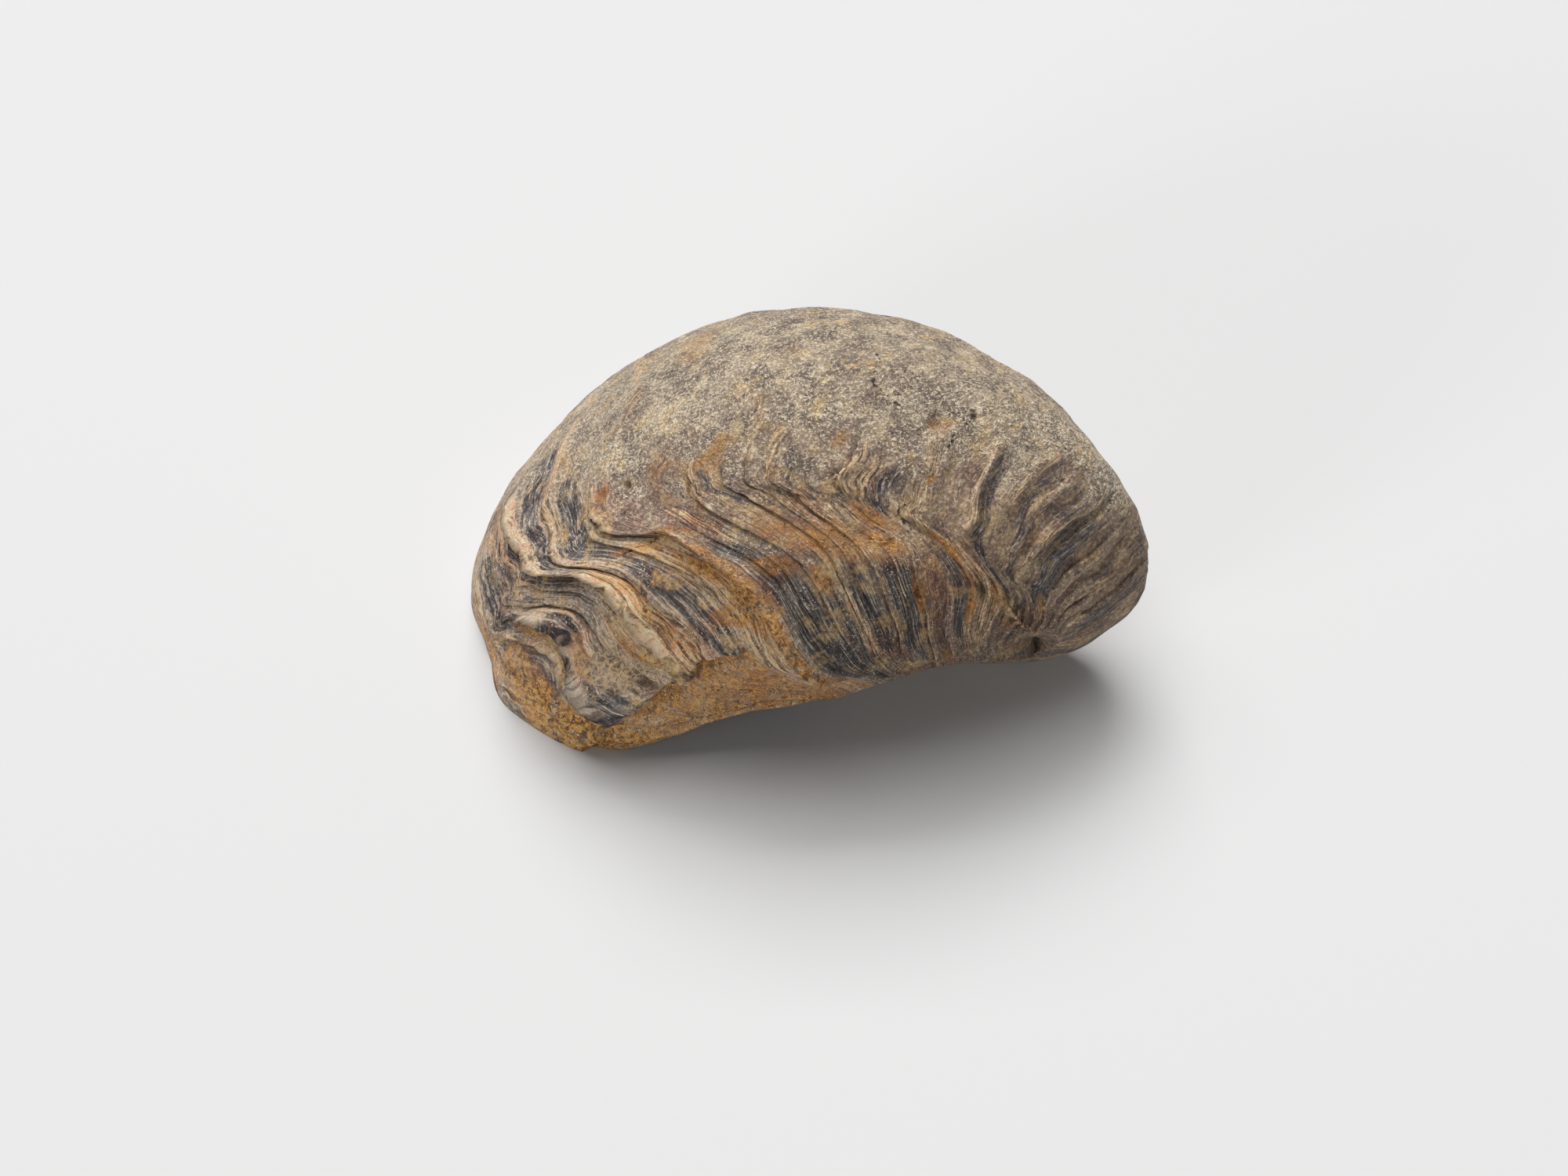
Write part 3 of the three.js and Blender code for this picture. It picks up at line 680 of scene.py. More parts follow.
# %% Ribbons
CREAM, SLATE, TAN, MAUVE, OCHRE = range(5)
RIBBONS = [
    (CREAM, 2.4, 6.0, [(2.4, .335, .365), (3.0, .342, .368), (4.0, .345, .375),
        (5.4, .34, .365), (6.2, .305, .325)], 1.0),
    (CREAM, 2.8, 5.9, [(2.8, .285, .305), (3.4, .290, .315), (4.0, .278, .305),
        (5.2, .215, .248), (6.1, .175, .195)], 1.0),
    (CREAM, 2.9, 5.7, [(2.9, .232, .250), (3.5, .225, .245), (4.2, .190, .215),
        (5.2, .150, .178), (5.8, .13, .145)], .9),
    (CREAM, 2.2, 4.8, [(2.2, .180, .195), (3.0, .153, .165), (4.0, .138, .148),
        (4.8, .130, .14)], .7),
    (CREAM, 3.0, 5.2, [(3.0, .03, .055), (4.0, .03, .055), (5.2, .03, .05)], .8),
    (CREAM, 2.9, 4.7, [(2.9, .490, .505), (3.6, .505, .525), (4.7, .500, .520)], .9),
    (CREAM, 2.8, 4.4, [(2.8, .470, .480), (3.6, .476, .490), (4.4, .474, .485)], .7),
    (CREAM, 3.1, 4.9, [(3.1, .552, .562), (4.0, .550, .562), (4.9, .545, .560)], .8),
    (CREAM, 1.7, 2.6, [(1.7, .030, .050), (2.1, .036, .056), (2.6, .020, .040)], .9),
    (TAN, 0.9, 2.2, [(0.9, .005, .040), (1.5, .010, .035), (2.2, .010, .030)], 1.0),
    (CREAM, 1.9, 3.0, [(1.9, .108, .122), (2.4, .095, .108), (3.0, .065, .075)], .9),
    (CREAM, 0.4, 2.1, [(0.4, .480, .545), (0.9, .500, .560), (1.4, .510, .550),
        (2.1, .50, .53)], .55),
    (CREAM, 0.4, 1.5, [(0.4, .430, .452), (0.9, .470, .480), (1.5, .470, .478)], .6),
    (CREAM, 0.6, 1.7, [(0.6, .700, .708), (1.0, .710, .718), (1.7, .696, .702)], .5),
    (CREAM, 1.0, 1.9, [(1.0, 1.005, 1.035), (1.9, 1.00, 1.03)], .5),
    (CREAM, 3.6, 5.4, [(3.6, 1.615, 1.635), (5.4, 1.63, 1.65)], .9),
    (CREAM, 3.2, 4.4, [(3.2, 1.05, 1.065), (4.4, 1.04, 1.06)], .7),
    (CREAM, 3.4, 4.6, [(3.4, 1.17, 1.185), (4.6, 1.235, 1.25)], .8),
    (CREAM, 2.5, 5.2, [(2.5, 1.875, 1.895), (5.2, 1.91, 1.94)], .6),
    (CREAM, 3.0, 4.3, [(3.0, 2.22, 2.27), (4.3, 2.27, 2.30)], .8),
    (CREAM, 2.8, 4.6, [(2.8, 2.37, 2.41), (4.6, 2.42, 2.45)], .6),
    (SLATE, 1.2, 2.5, [(1.2, .345, .430), (2.0, .345, .415), (2.5, .365, .42)], 1.0),
    (SLATE, 2.5, 5.3, [(2.5, .375, .44), (3.2, .385, .475), (4.6, .39, .465)], .9),
    (SLATE, 2.9, 5.9, [(2.9, .305, .335), (3.6, .318, .345), (5.2, .26, .325)], .9),
    (SLATE, 2.6, 5.8, [(2.6, .245, .288), (3.4, .245, .285), (4.0, .218, .270),
        (5.2, .18, .212)], .9),
    (SLATE, 2.6, 5.2, [(2.6, .175, .225), (3.4, .165, .220), (4.2, .150, .186),
        (5.2, .14, .150)], .6),
    (SLATE, 2.7, 5.2, [(2.7, .10, .150), (3.2, .06, .140), (5.2, .055, .125)], .75),
    (SLATE, 1.1, 2.9, [(1.1, .050, .105), (1.8, .06, .10), (2.3, .06, .115), (2.9, .02, .06)], .7),
    (SLATE, 1.15, 2.3, [(1.15, .104, .152), (1.6, .118, .165), (2.3, .150, .20)], 1.0),
    (SLATE, 0.25, 2.3, [(0.25, .60, .80), (1.0, .618, .80), (1.6, .61, .77), (2.0, .58, .72),
        (2.3, .59, .68)], 1.0),
    (SLATE, 0.6, 1.7, [(0.6, .80, .84), (1.7, .79, .85)], .8),
    (SLATE, 0.9, 2.2, [(0.9, .90, .98), (1.6, .90, 1.0), (2.2, .92, .99)], .8),
    (SLATE, 0.6, 2.1, [(0.6, 1.05, 1.13), (1.2, 1.045, 1.16), (2.1, 1.06, 1.19)], .95),
    (SLATE, 1.1, 2.7, [(1.1, 1.37, 1.44), (1.8, 1.34, 1.44), (2.7, 1.33, 1.41)], .9),
    (SLATE, 1.9, 5.4, [(1.9, 1.67, 1.73), (3.0, 1.665, 1.72), (5.4, 1.66, 1.71)], .7),
    (SLATE, 2.9, 4.6, [(2.9, 1.28, 1.33), (3.6, 1.30, 1.34), (4.6, 1.33, 1.42)], .7),
    (SLATE, 3.0, 4.2, [(3.0, 1.065, 1.09), (4.2, 1.065, 1.09)], .8),
    (SLATE, 3.0, 4.2, [(3.0, 1.185, 1.20), (4.2, 1.17, 1.195)], .6),
    (SLATE, 2.9, 4.4, [(2.9, .835, .87), (4.4, .82, .85)], .6),
    (SLATE, 2.0, 6.2, [(2.0, 1.80, 1.86), (3.5, 1.83, 1.88), (6.2, 1.83, 1.88)], .6),
    (SLATE, 2.4, 6.4, [(2.4, 1.98, 2.02), (3.5, 2.02, 2.20), (6.4, 1.98, 2.19)], .75),
    (SLATE, 3.0, 7.0, [(3.0, 2.62, 2.90), (7.0, 2.60, 2.95)], .60),
    (SLATE, 3.0, 7.0, [(3.0, 3.3, 3.6), (7.0, 3.25, 3.6)], .7),
    (MAUVE, 2.6, 4.6, [(2.6, .50, .70), (3.4, .53, .73), (4.6, .56, .70)], 1.0),
    (MAUVE, 0.0, 2.5, [(0.0, 1.22, 1.44), (1.2, 1.22, 1.34), (2.5, 1.25, 1.31)], .9),
    (MAUVE, 0.4, 1.2, [(0.4, .90, .98), (1.2, .92, .98)], .6),
    (MAUVE, 2.2, 5.4, [(2.2, 2.45, 2.58), (5.4, 2.45, 2.58)], .5),
    (TAN, 0.1, 2.7, [(0.1, .45, .60), (0.9, .44, .60), (2.0, .425, .58), (2.7, .44, .60)], .9),
    (TAN, 2.3, 3.1, [(2.3, .66, .71), (3.1, .66, .70)], .8),
    (TAN, 1.1, 2.6, [(1.1, .245, .335), (2.0, .25, .34), (2.6, .285, .34)], .95),
    (TAN, 2.0, 3.2, [(2.0, .93, 1.34), (2.5, .92, 1.33), (3.2, .90, 1.25)], .6),
    (TAN, 0.9, 3.0, [(0.9, 1.44, 1.62), (2.0, 1.45, 1.70), (3.0, 1.42, 1.60)], .8),
    (TAN, 0.9, 2.4, [(0.9, .84, .90), (1.6, .86, .90), (2.4, .87, .92)], .9),
    (TAN, 1.9, 3.2, [(1.9, 2.0, 2.12), (2.5, 2.04, 2.14), (3.2, 2.12, 2.22)], .7),
    (TAN, 3.2, 4.6, [(3.2, .74, .82), (4.6, .79, .83)], .7),
    (TAN, 3.0, 4.6, [(3.0, 1.20, 1.28), (4.6, 1.26, 1.33)], .7),
    (TAN, 3.0, 5.0, [(3.0, 1.40, 1.48), (5.0, 1.43, 1.48)], .8),
]


def ribbon(age, place, first, last, points):
    """1 inside a ribbon, falling to 0 over half its width outside it, softly at both ends."""
    at, low, high = (np.array(v) for v in zip(*points))
    lo, hi = np.interp(place, at, low), np.interp(place, at, high)
    half = (hi - lo) / 2
    inside = np.clip(1.5 - np.abs(age - (lo + hi) / 2) / half, 0, 1)
    return inside * smooth(first - 0.25, first + 0.1, place) * smooth(last + 0.3, last - 0.3, place)


tones = np.zeros((5, *ages.shape))
for tone, first, last, line, strength in RIBBONS:
    tones[tone] = np.maximum(tones[tone], strength * ribbon(ages, places, first, last, line))
tones[CREAM] = np.maximum(tones[CREAM], 0.45 * ridge)
tones[TAN] = np.maximum(tones[TAN], 0.9 * ridge)
tones[:OCHRE] *= 1 - 0.6 * snapped
print("ribbons", len(RIBBONS))

# %% [markdown]
# ## Stains, cracks and dirt
#
# Ochre silt sits in oval stains and on the snapped face. Cracks are broken lines of
# (place, age) points, and the crease is the bend where the sheets turn into the wing,
# darkened as painted shade. The comb is a patch of small cells on the last-grown
# sheets. Last, how proud each point stands of its neighbours, less the painted shadows
# under the ledges and in the crease, tells the material what is rubbed pale and where
# to paint shade. All of it could be painted on by hand, but then it would not move with
# the growth lines when a number changes.

# %% Stains and cracks
# Age, place, half height in radians, half width in places, strength.
STAINS = [
    (.575, 0.95, .025, 1.00, 1.0), (.545, 1.65, .060, .30, 1.0), (.575, 1.95, .025, .35, .8),
    (.590, 2.58, .040, .12, .8), (.470, 2.52, .060, .10, .7), (.700, 1.95, .070, .12, .8),
    (.820, 1.76, .035, .16, 1.0), (.970, 2.25, .20, .32, .62), (.855, 4.50, .035, .35, .9),
    (1.15, 2.35, .065, .18, 1.2), (1.185, 1.60, .018, .18, 1.0), (1.465, 1.65, .022, .35, .9),
    (1.46, 2.65, .035, .25, 1.0), (1.470, 4.35, .016, .08, .9), (1.165, 4.70, .030, .20, .7),
    (1.44, 5.30, .035, .14, .8), (.030, 1.30, .040, .50, 1.2), (.050, 1.60, .030, .60, 1.2),
    (.055, 2.35, .030, .45, .9), (.138, 1.65, .022, .40, 1.1), (.125, 2.45, .014, .45, .8),
    (.235, 1.55, .012, .35, .8), (.312, 1.80, .016, .55, .6), (.500, 2.05, .030, .22, .9),
    (1.240, 2.85, .060, .25, .8), (.890, 2.30, .060, .22, .7), (1.62, 2.05, .070, .25, .7),
    (.010, 3.60, .018, 1.2, .5), (.540, 4.35, .020, .12, .8), (1.26, 0.40, .040, .50, .6),
    (2.08, 2.70, .050, .40, .6), (.470, 1.55, .060, .10, .8), (.620, 6.60, .050, .50, .6),
    (.920, 6.20, .030, .20, .5),
]
CRACKS = [
    [(5.38, 1.31), (5.50, 1.26), (5.68, 1.20), (5.88, 1.175), (6.05, 1.16), (6.30, 1.135)],
    [(4.95, 1.500), (5.30, 1.505), (5.62, 1.503)],
    [(3.18, 1.033), (3.35, 1.045), (3.62, 1.045)],
    [(2.62, 1.31), (2.85, 1.345), (3.05, 1.38), (3.35, 1.395)],
    [(2.52, .42), (2.56, .50), (2.66, .585)],
    [(3.6, 1.41), (3.1, 1.38), (2.7, 1.40)],
    [(2.0, 1.64), (1.65, 1.86), (1.4, 2.15)],
]
CREASE = [(3.1, 1.38), (2.7, 1.40), (2.4, 1.44), (2.0, 1.48), (1.6, 1.62), (1.4, 2.00)]
SNAP_SILT = 0.74

for age, place, tall, wide, strength in STAINS:
    out = np.hypot((ages - age) / tall, (places - place) / wide)
    # Stains close under the third ledge stay below it.
    under = (ledge < 2)[:, None] if 0.1 < age < 0.16 else 1.0
    tones[OCHRE] = np.maximum(tones[OCHRE], under * strength * np.clip(1.6 - out, 0, 1))
tones[OCHRE] = np.maximum(tones[OCHRE], SNAP_SILT * snapped)
comb = (ledge >= 2)[:, None] * smooth(1.28, 1.42, places) * smooth(1.84, 1.66, places)
comb = comb * smooth(0.136, 0.160, ages) * smooth(0.240, 0.214, ages)
crack = np.min([line_distance(ages, places, line) for line in CRACKS], axis=0)
print("stains", len(STAINS), "cracks", len(CRACKS), "comb points", int((comb > 0.5).sum()))

# %% Proud and low points
BLUR_ROUNDS = 5
CREASE_SHADE_WIDTH = 1.6

# Painted shadow under the snapped edge, joined to the shadows under the ledges.
shadow_under_snap = np.exp(-((places - 1.15 - torn) / 0.05) ** 2)
shadow_under_snap = shadow_under_snap * smooth(0.45, 0.40, ages) * smooth(0.05, 0.12, ages)
ledge_shadow = np.maximum(ledge_shadow, 0.9 * shadow_under_snap)
blur = relief.copy()
for _ in range(BLUR_ROUNDS):
    blur = (blur + np.roll(blur, 1, 1) + np.roll(blur, -1, 1)
            + np.concatenate([blur[:1], blur[:-1]]) + np.concatenate([blur[1:], blur[-1:]])) / 5
# Painted shade: the crease and the shadows under the ledges lower the proud value, so the material
# paints them dark.
crease_shade = np.exp(-(line_distance(ages, places, CREASE) / CREASE_SHADE_WIDTH) ** 2)
proud = np.clip(0.5 + 0.9 * (relief - blur) - 0.6 * ledge_shadow - 0.16 * crease_shade, 0, 1)
print("proud share", (proud > 0.6).mean().round(3), "low share", (proud < 0.4).mean().round(3))

# %% [markdown]
# ## Mesh
#
# The outer grid runs from the beak to the lip, and the hollow grid goes on from the lip
# to the top of the hollow. Joined into one grid they make one closed skin, with a fan
# of triangles at each pole. A Boolean could cut the hollow instead, but it would leave
# a ragged seam along the lip.

# %% Mesh
grid = np.concatenate([points[::-1], hollow])
row_count, column_count = grid.shape[:2]
tip_age = np.full((1, column_count), BEAK_AGE)
tip = drawn_in(on_line(tip_age, place_line[None]), tip_age).mean((0, 1))
roof = on_line(np.full(column_count, HOLLOW_AGE), place_line).mean(0)
vertices = np.concatenate([tip[None], grid.reshape(-1, 3), roof[None]]) * 0.001

c = np.arange(column_count)
n = (c + 1) % column_count
r = np.arange(row_count - 1)[:, None]
row_start = 1 + r * column_count
quads = [row_start + c, row_start + n, row_start + column_count + n, row_start + column_count + c]
quads = np.stack(quads, -1).reshape(-1, 4)
last_row = 1 + (row_count - 1) * column_count
fan_tip = np.stack([0 * c, 1 + n, 1 + c], -1)
fan_roof = np.stack([last_row + c, last_row + n, 0 * c + len(vertices) - 1], -1)
loops = np.concatenate([fan_tip.ravel(), quads.ravel(), fan_roof.ravel()])
corners = np.repeat([3, 4, 3], [len(fan_tip), len(quads), len(fan_roof)])

mesh = bpy.data.meshes.new("oyster")
mesh.vertices.add(len(vertices))
mesh.vertices.foreach_set("co", vertices.ravel())
mesh.loops.add(len(loops))
mesh.loops.foreach_set("vertex_index", loops.astype(np.int32))
mesh.polygons.add(len(corners))
mesh.polygons.foreach_set("loop_start", (np.cumsum(corners) - corners).astype(np.int32))
mesh.update(calc_edges=True)
mesh.validate()
mesh.polygons.foreach_set("use_smooth", np.ones(len(corners), bool))
oyster = bpy.data.objects.new("oyster", mesh)
bpy.context.scene.collection.objects.link(oyster)
print("triangles", int((corners - 2).sum()), "size mm", (np.ptp(vertices, axis=0) * 1000).round(2))

# %% [markdown]
# ## What the mesh tells the material
#
# The UV map holds the address of each point, place across and straightened age up, so
# that a noise can be drawn out along the growth lines. The colour maps, the wear, the
# dirt and the scar are stored as colour attributes, four values in each.

# %% UV map
POLE_U = 5.0

# The last column of quads ends at place 12, not at 0.
column_u = np.concatenate([place_line, [ROUND]])
left, right = column_u[c], column_u[c + 1]
quad_u = np.broadcast_to(np.stack([left, right, right, left], -1), (row_count - 1, column_count, 4))
tip_u = np.stack([0 * c + POLE_U, right, left], -1)
roof_u = np.stack([left, right, 0 * c + POLE_U], -1)
loop_u = np.concatenate([tip_u.ravel(), quad_u.ravel(), roof_u.ravel()])
hollow_v = -HOLLOW_AGE * q
vertex_v = np.concatenate([[plain[-1, 0]], plain[::-1].ravel(), hollow_v.ravel(), [-HOLLOW_AGE]])
uv = mesh.uv_layers.new(name="growth")
uv.data.foreach_set("uv", np.stack([loop_u, vertex_v[loops]], -1).astype(np.float32).ravel())
print("uv from", vertex_v.min().round(2), "to", vertex_v.max().round(2))

# %% Maps


def paint(name, channels):
    """Stores four outer grids (with a value for the hollow rows) as one colour attribute."""
    data = []
    for outer, inner in channels:
        inside = np.broadcast_to(inner, hollow.shape[:2])
        values = [[outer[-1, 0]], outer[::-1].ravel(), inside.ravel(), [inside[-1, 0]]]
        data.append(np.concatenate(values))
    layer = mesh.color_attributes.new(name, "FLOAT_COLOR", "POINT")
    layer.data.foreach_set("color", np.stack(data, -1).astype(np.float32).ravel())


rim_blend = smooth(0.0, 0.12, q)
paint("tones", [(tones[CREAM], 0.0), (tones[SLATE], 0.0), (tones[TAN], 0.0), (tones[MAUVE], 0.0)])
paint("marks", [(tones[OCHRE], 0.35 * (1 - rim_blend)), (worn, 0.0), (proud, 0.5), (crack, 9.0)])
paint("inner", [(0 * ages, rim_blend), (0 * ages, scar), (edge_line, 0.0), (comb, 0.0)])
print("maps", [layer.name for layer in mesh.color_attributes])

# %% [markdown]
# ## Shell stone
#
# Fossil calcite is dull and dry: grey-brown and worn on the dome, and banded blue-grey,
# cream, tan and ochre where the thin sheets lie open. It could be painted by hand, but
# the paint would not follow the growth lines so closely. Here one material is built up
# from noise, layer on layer, in the order in which growth, burial, stain and wear made
# the real one. A few helpers keep each layer short.

# %% Node helpers
stone = bpy.data.materials.new("shell_stone")
stone.use_nodes = True
tree = stone.node_tree
shader = tree.nodes["Principled BSDF"]


def feed(socket, value):
    """Links a node output, or sets a plain value."""
    if isinstance(value, bpy.types.NodeSocket):
        tree.links.new(value, socket)
    else:
        socket.default_value = value


def calc(operation, a, b=0.0):
    """One Math node."""
    node = tree.nodes.new("ShaderNodeMath")
    node.operation = operation
    feed(node.inputs[0], a)
    feed(node.inputs[1], b)
    return node.outputs[0]


def plus(a, b):
    """a + b."""
    return calc("ADD", a, b)


def times(first, *others):
    """The product of two or more values."""
    for other in others:
        first = calc("MULTIPLY", first, other)
    return first


def around(value, gain):
    """(value - 0.5) * gain: a noise that swings about zero."""
    return times(calc("SUBTRACT", value, 0.5), gain)


def inverse(value):
    """1 - value."""
    return calc("SUBTRACT", 1.0, value)


def vector_calc(operation, a, b):
    """One Vector Math node."""
    node = tree.nodes.new("ShaderNodeVectorMath")
    node.operation = operation
    feed(node.inputs[0], a)
    feed(node.inputs[1], b)
    return node.outputs[0]


def stretch(vector, factors):
    """A vector, or a colour, times three factors."""
    return vector_calc("MULTIPLY", vector, factors)


def shift(a, b):
    """The sum of two vectors."""
    return vector_calc("ADD", a, b)


print("calculating helpers ready")

# %% Cut, mix and noise helpers


def step(value, low, high, start=0.0, end=1.0):
    """Soft step of a value from `start` at `low` to `end` at `high`."""
    node = tree.nodes.new("ShaderNodeMapRange")
    node.interpolation_type = "SMOOTHSTEP"
    for socket, v in zip(node.inputs, (value, low, high, start, end)):
        feed(socket, v)
    return node.outputs[0]


def broken(where, texture, gain, low, high):
    """Breaks a soft map up with a noise: their sum, cut softly between two levels."""
    return step(plus(where, around(texture, gain)), low, high)


def mix(amount, a, b, blend="MIX"):
    """Goes from colour `a` to colour `b`, or blends `b` over `a`, by an amount."""
    node = tree.nodes.new("ShaderNodeMix")
    node.data_type = "RGBA"
    node.blend_type = blend
    feed(node.inputs[0], amount)
    feed(node.inputs[6], a)
    feed(node.inputs[7], b)
    return node.outputs[2]


def graded(value, low, high, first, second):
    """Colour `first` where a value is under `low`, `second` where it is over `high`."""
    return mix(step(value, low, high), first, second)


def noise_node(vector, scale, detail=2.0, rough=0.5):
    """One Noise Texture node."""
    node = tree.nodes.new("ShaderNodeTexNoise")
    feed(node.inputs["Vector"], vector)
    feed(node.inputs["Scale"], scale)
    feed(node.inputs["Detail"], detail)
    feed(node.inputs["Roughness"], rough)
    return node


def noise(vector, scale, detail=2.0, rough=0.5):
    """Noise of a vector, as one value around 0.5."""
    return noise_node(vector, scale, detail, rough).outputs[0]


def stored(name):
    """Red, green, blue and alpha of one colour attribute of the mesh."""
    node = tree.nodes.new("ShaderNodeAttribute")
    node.attribute_name = name
    split = tree.nodes.new("ShaderNodeSeparateColor")
    feed(split.inputs[0], node.outputs["Color"])
    return (*split.outputs[:3], node.outputs["Alpha"])


def srgb(r, g, b):
    """Linear colour of an 8-bit display colour."""
    channels = [v / 255 for v in (r, g, b)]
    linear = [v / 12.92 if v <= 0.04 else ((v + 0.055) / 1.055) ** 2.4 for v in channels]
    return (*linear, 1.0)


print("mixing helpers ready")

# %% [markdown]
# ### Two sets of coordinates
#
# Dirt, grit and wear know nothing of the growth lines, so their noise reads plain
# millimetres. Sheets, streaks and hairs follow the growth lines, so their noise reads
# the UV map, drawn out along the lines and moved a little by a slow wobble, because
# real lines are never quite parallel.

# %% Coordinates
MM_PER_METRE = 1000.0
LINE_WOBBLE = 0.045

coordinates = tree.nodes.new("ShaderNodeTexCoord")
mm = stretch(coordinates.outputs["Object"], (MM_PER_METRE,) * 3)
wobble = noise_node(mm, 0.13).outputs["Color"]
growth_node = tree.nodes.new("ShaderNodeUVMap")
growth_node.uv_map = "growth"
growth = shift(growth_node.outputs["UV"], stretch(wobble, (0.0, LINE_WOBBLE, 0.0)))
axes = tree.nodes.new("ShaderNodeSeparateXYZ")
feed(axes.inputs[0], growth)
line_place, line_age = axes.outputs[0], axes.outputs[1]


def growth_noise(per_place, per_age, detail=3.0, rough=0.6):
    """Noise with so many waves per place and per radian of age, so it runs along the lines."""
    return noise(stretch(growth, (per_place, per_age, 1.0)), 1.0, detail, rough)


def spots(offset, scale, detail, rough, low, high):
    """Patches of noise in mm, cut softly; each kind has its own offset, so no two agree."""
    return step(noise(shift(mm, offset), scale, detail, rough), low, high)


streaks = growth_noise(1.1, 34.0)
lines = growth_noise(2.2, 120.0)
hairs = growth_noise(5.0, 330.0, 2.0)
patches = noise(mm, 0.10, 3.0, 0.55)
clouds = noise(mm, 0.35, 4.0, 0.6)
crumbs = noise(mm, 1.7, 4.0, 0.65)
dust = noise(mm, 5.0, 3.0, 0.6)
grit = noise(mm, 2.4, 4.0, 0.7)

cream_map, slate_map, tan_map, mauve_map = stored("tones")
ochre_map, worn_map, proud_map, crack_map = stored("marks")
inner_map, scar_map, edge_map, comb_map = stored("inner")
outside = inverse(inner_map)
ochre = broken(ochre_map, noise(mm, 0.9, 4.0, 0.7), 2.6, 0.55, 1.05)
wing = times(step(line_place, 1.9, 2.5), step(line_age, 1.9, 2.2))
growth_free = times(inverse(worn_map), step(ochre, 0.2, 1.0, 1.0, 0.15))
growth_free = times(growth_free, step(wing, 0.0, 1.0, 1.0, 0.45))
print("maps and noises ready, nodes so far", len(tree.nodes))

# %% [markdown]
# ### Bare shell
#
# Under all marks the shell is a warm grey-brown. The older half, nearer the beak, is
# browner and coarser banded, because its sheets lie closer and are more weathered.

# %% Bare shell
STONE_GREY, STONE_WARM = srgb(140, 129, 118), srgb(182, 160, 138)
OLD_BROWN, OLD_TAN = srgb(128, 104, 94), srgb(172, 146, 118)
OLD_DARK, OLD_PALE = srgb(84, 77, 76), srgb(196, 176, 148)
SLATE_DARK, SLATE_LIGHT = srgb(48, 50, 58), srgb(120, 118, 117)

colour = graded(patches, 0.38, 0.62, STONE_GREY, STONE_WARM)
old_streaks = growth_noise(1.3, 13.0, 4.0, 0.65)
old_tone = graded(clouds, 0.40, 0.60, OLD_BROWN, OLD_TAN)
old_tone = mix(times(step(old_streaks, 0.50, 0.40), 0.8), old_tone, OLD_DARK)
old_tone = mix(times(step(old_streaks, 0.54, 0.62), 0.8), old_tone, OLD_PALE)
colour = mix(step(line_age, 1.0, 1.5), colour, old_tone)
colour = mix(times(step(streaks, 0.42, 0.62), growth_free, 0.55), colour, SLATE_LIGHT)
print("bare shell, nodes so far", len(tree.nodes))

# %% [markdown]
# ### Growth colours
#
# Dense sheets turned slate blue, chalky ones stayed cream or tan, and some are mauve.
# Each ribbon map is broken up by the streaks and lines, so it shows as many thin
# threads of colour and not as a painted band.

# %% Growth colours
MAUVE_COLOUR = srgb(136, 112, 104)
TAN_DARK, TAN_LIGHT = srgb(134, 112, 88), srgb(226, 194, 156)
CREAM_DULL, CREAM_BRIGHT = srgb(196, 166, 138), srgb(238, 206, 174)
CREAM_DIRTY = srgb(172, 142, 112)

mauve = broken(mauve_map, clouds, 0.9, 0.35, 0.65)
colour = mix(times(mauve, 0.85), colour, MAUVE_COLOUR)
slate = broken(slate_map, streaks, 1.2, 0.36, 0.66)
colour = mix(times(slate, 0.92), colour, graded(lines, 0.47, 0.59, SLATE_DARK, SLATE_LIGHT))
tan = broken(tan_map, streaks, 1.4, 0.40, 0.70)
colour = mix(times(tan, 0.9), colour, graded(lines, 0.45, 0.56, TAN_DARK, TAN_LIGHT))
cream = broken(cream_map, lines, 1.5, 0.45, 0.75)
cream_tone = graded(hairs, 0.35, 0.6, CREAM_DULL, CREAM_BRIGHT)
cream_tone = mix(times(step(crumbs, 0.50, 0.40), 0.6), cream_tone, CREAM_DIRTY)
colour = mix(times(cream, 0.85), colour, cream_tone)
print("growth colours, nodes so far", len(tree.nodes))

# %% [markdown]
# ### Edges and hairs
#
# A broken edge is fresh and cream, with brown dirt in it. Between the edges, fine pale
# and dark hairs are the cut ends of single sheets. The last two layers are overlays:
# they change how light a place is and leave its hue alone.

# %% Edges and hairs
EDGE_BROWN, EDGE_CREAM, EDGE_TAN = srgb(132, 96, 62), srgb(232, 196, 162), srgb(192, 154, 116)
GAP_DARK = srgb(50, 44, 41)
HAIR_DARK, HAIR_LIGHT = srgb(92, 88, 84), srgb(190, 186, 180)
GRIT_DULL, GRIT_LIGHT = srgb(160, 158, 156), srgb(248, 246, 243)

edge = broken(edge_map, noise(mm, 0.30, 3.0, 0.7), 3.0, 0.78, 1.23)
dirty_cream = graded(crumbs, 0.45, 0.60, EDGE_CREAM, EDGE_TAN)
colour = mix(times(edge, 0.65), colour, graded(lines, 0.42, 0.55, EDGE_BROWN, dirty_cream))
pale_lines = times(step(lines, 0.59, 0.66), growth_free, 0.50)
colour = mix(pale_lines, colour, CREAM_BRIGHT)
pale_hairs = times(step(hairs, 0.62, 0.68), step(streaks, 0.40, 0.55), growth_free, 0.65)
colour = mix(pale_hairs, colour, CREAM_BRIGHT)
dark_lines = times(step(lines, 0.46, 0.38), growth_free, 0.7)
colour = mix(dark_lines, colour, GAP_DARK)
hair_tone = graded(hairs, 0.40, 0.60, HAIR_DARK, HAIR_LIGHT)
colour = mix(times(growth_free, 0.6), colour, hair_tone, "OVERLAY")
colour = mix(0.75, colour, graded(grit, 0.46, 0.62, GRIT_DULL, GRIT_LIGHT), "OVERLAY")
print("edges and hairs, nodes so far", len(tree.nodes))
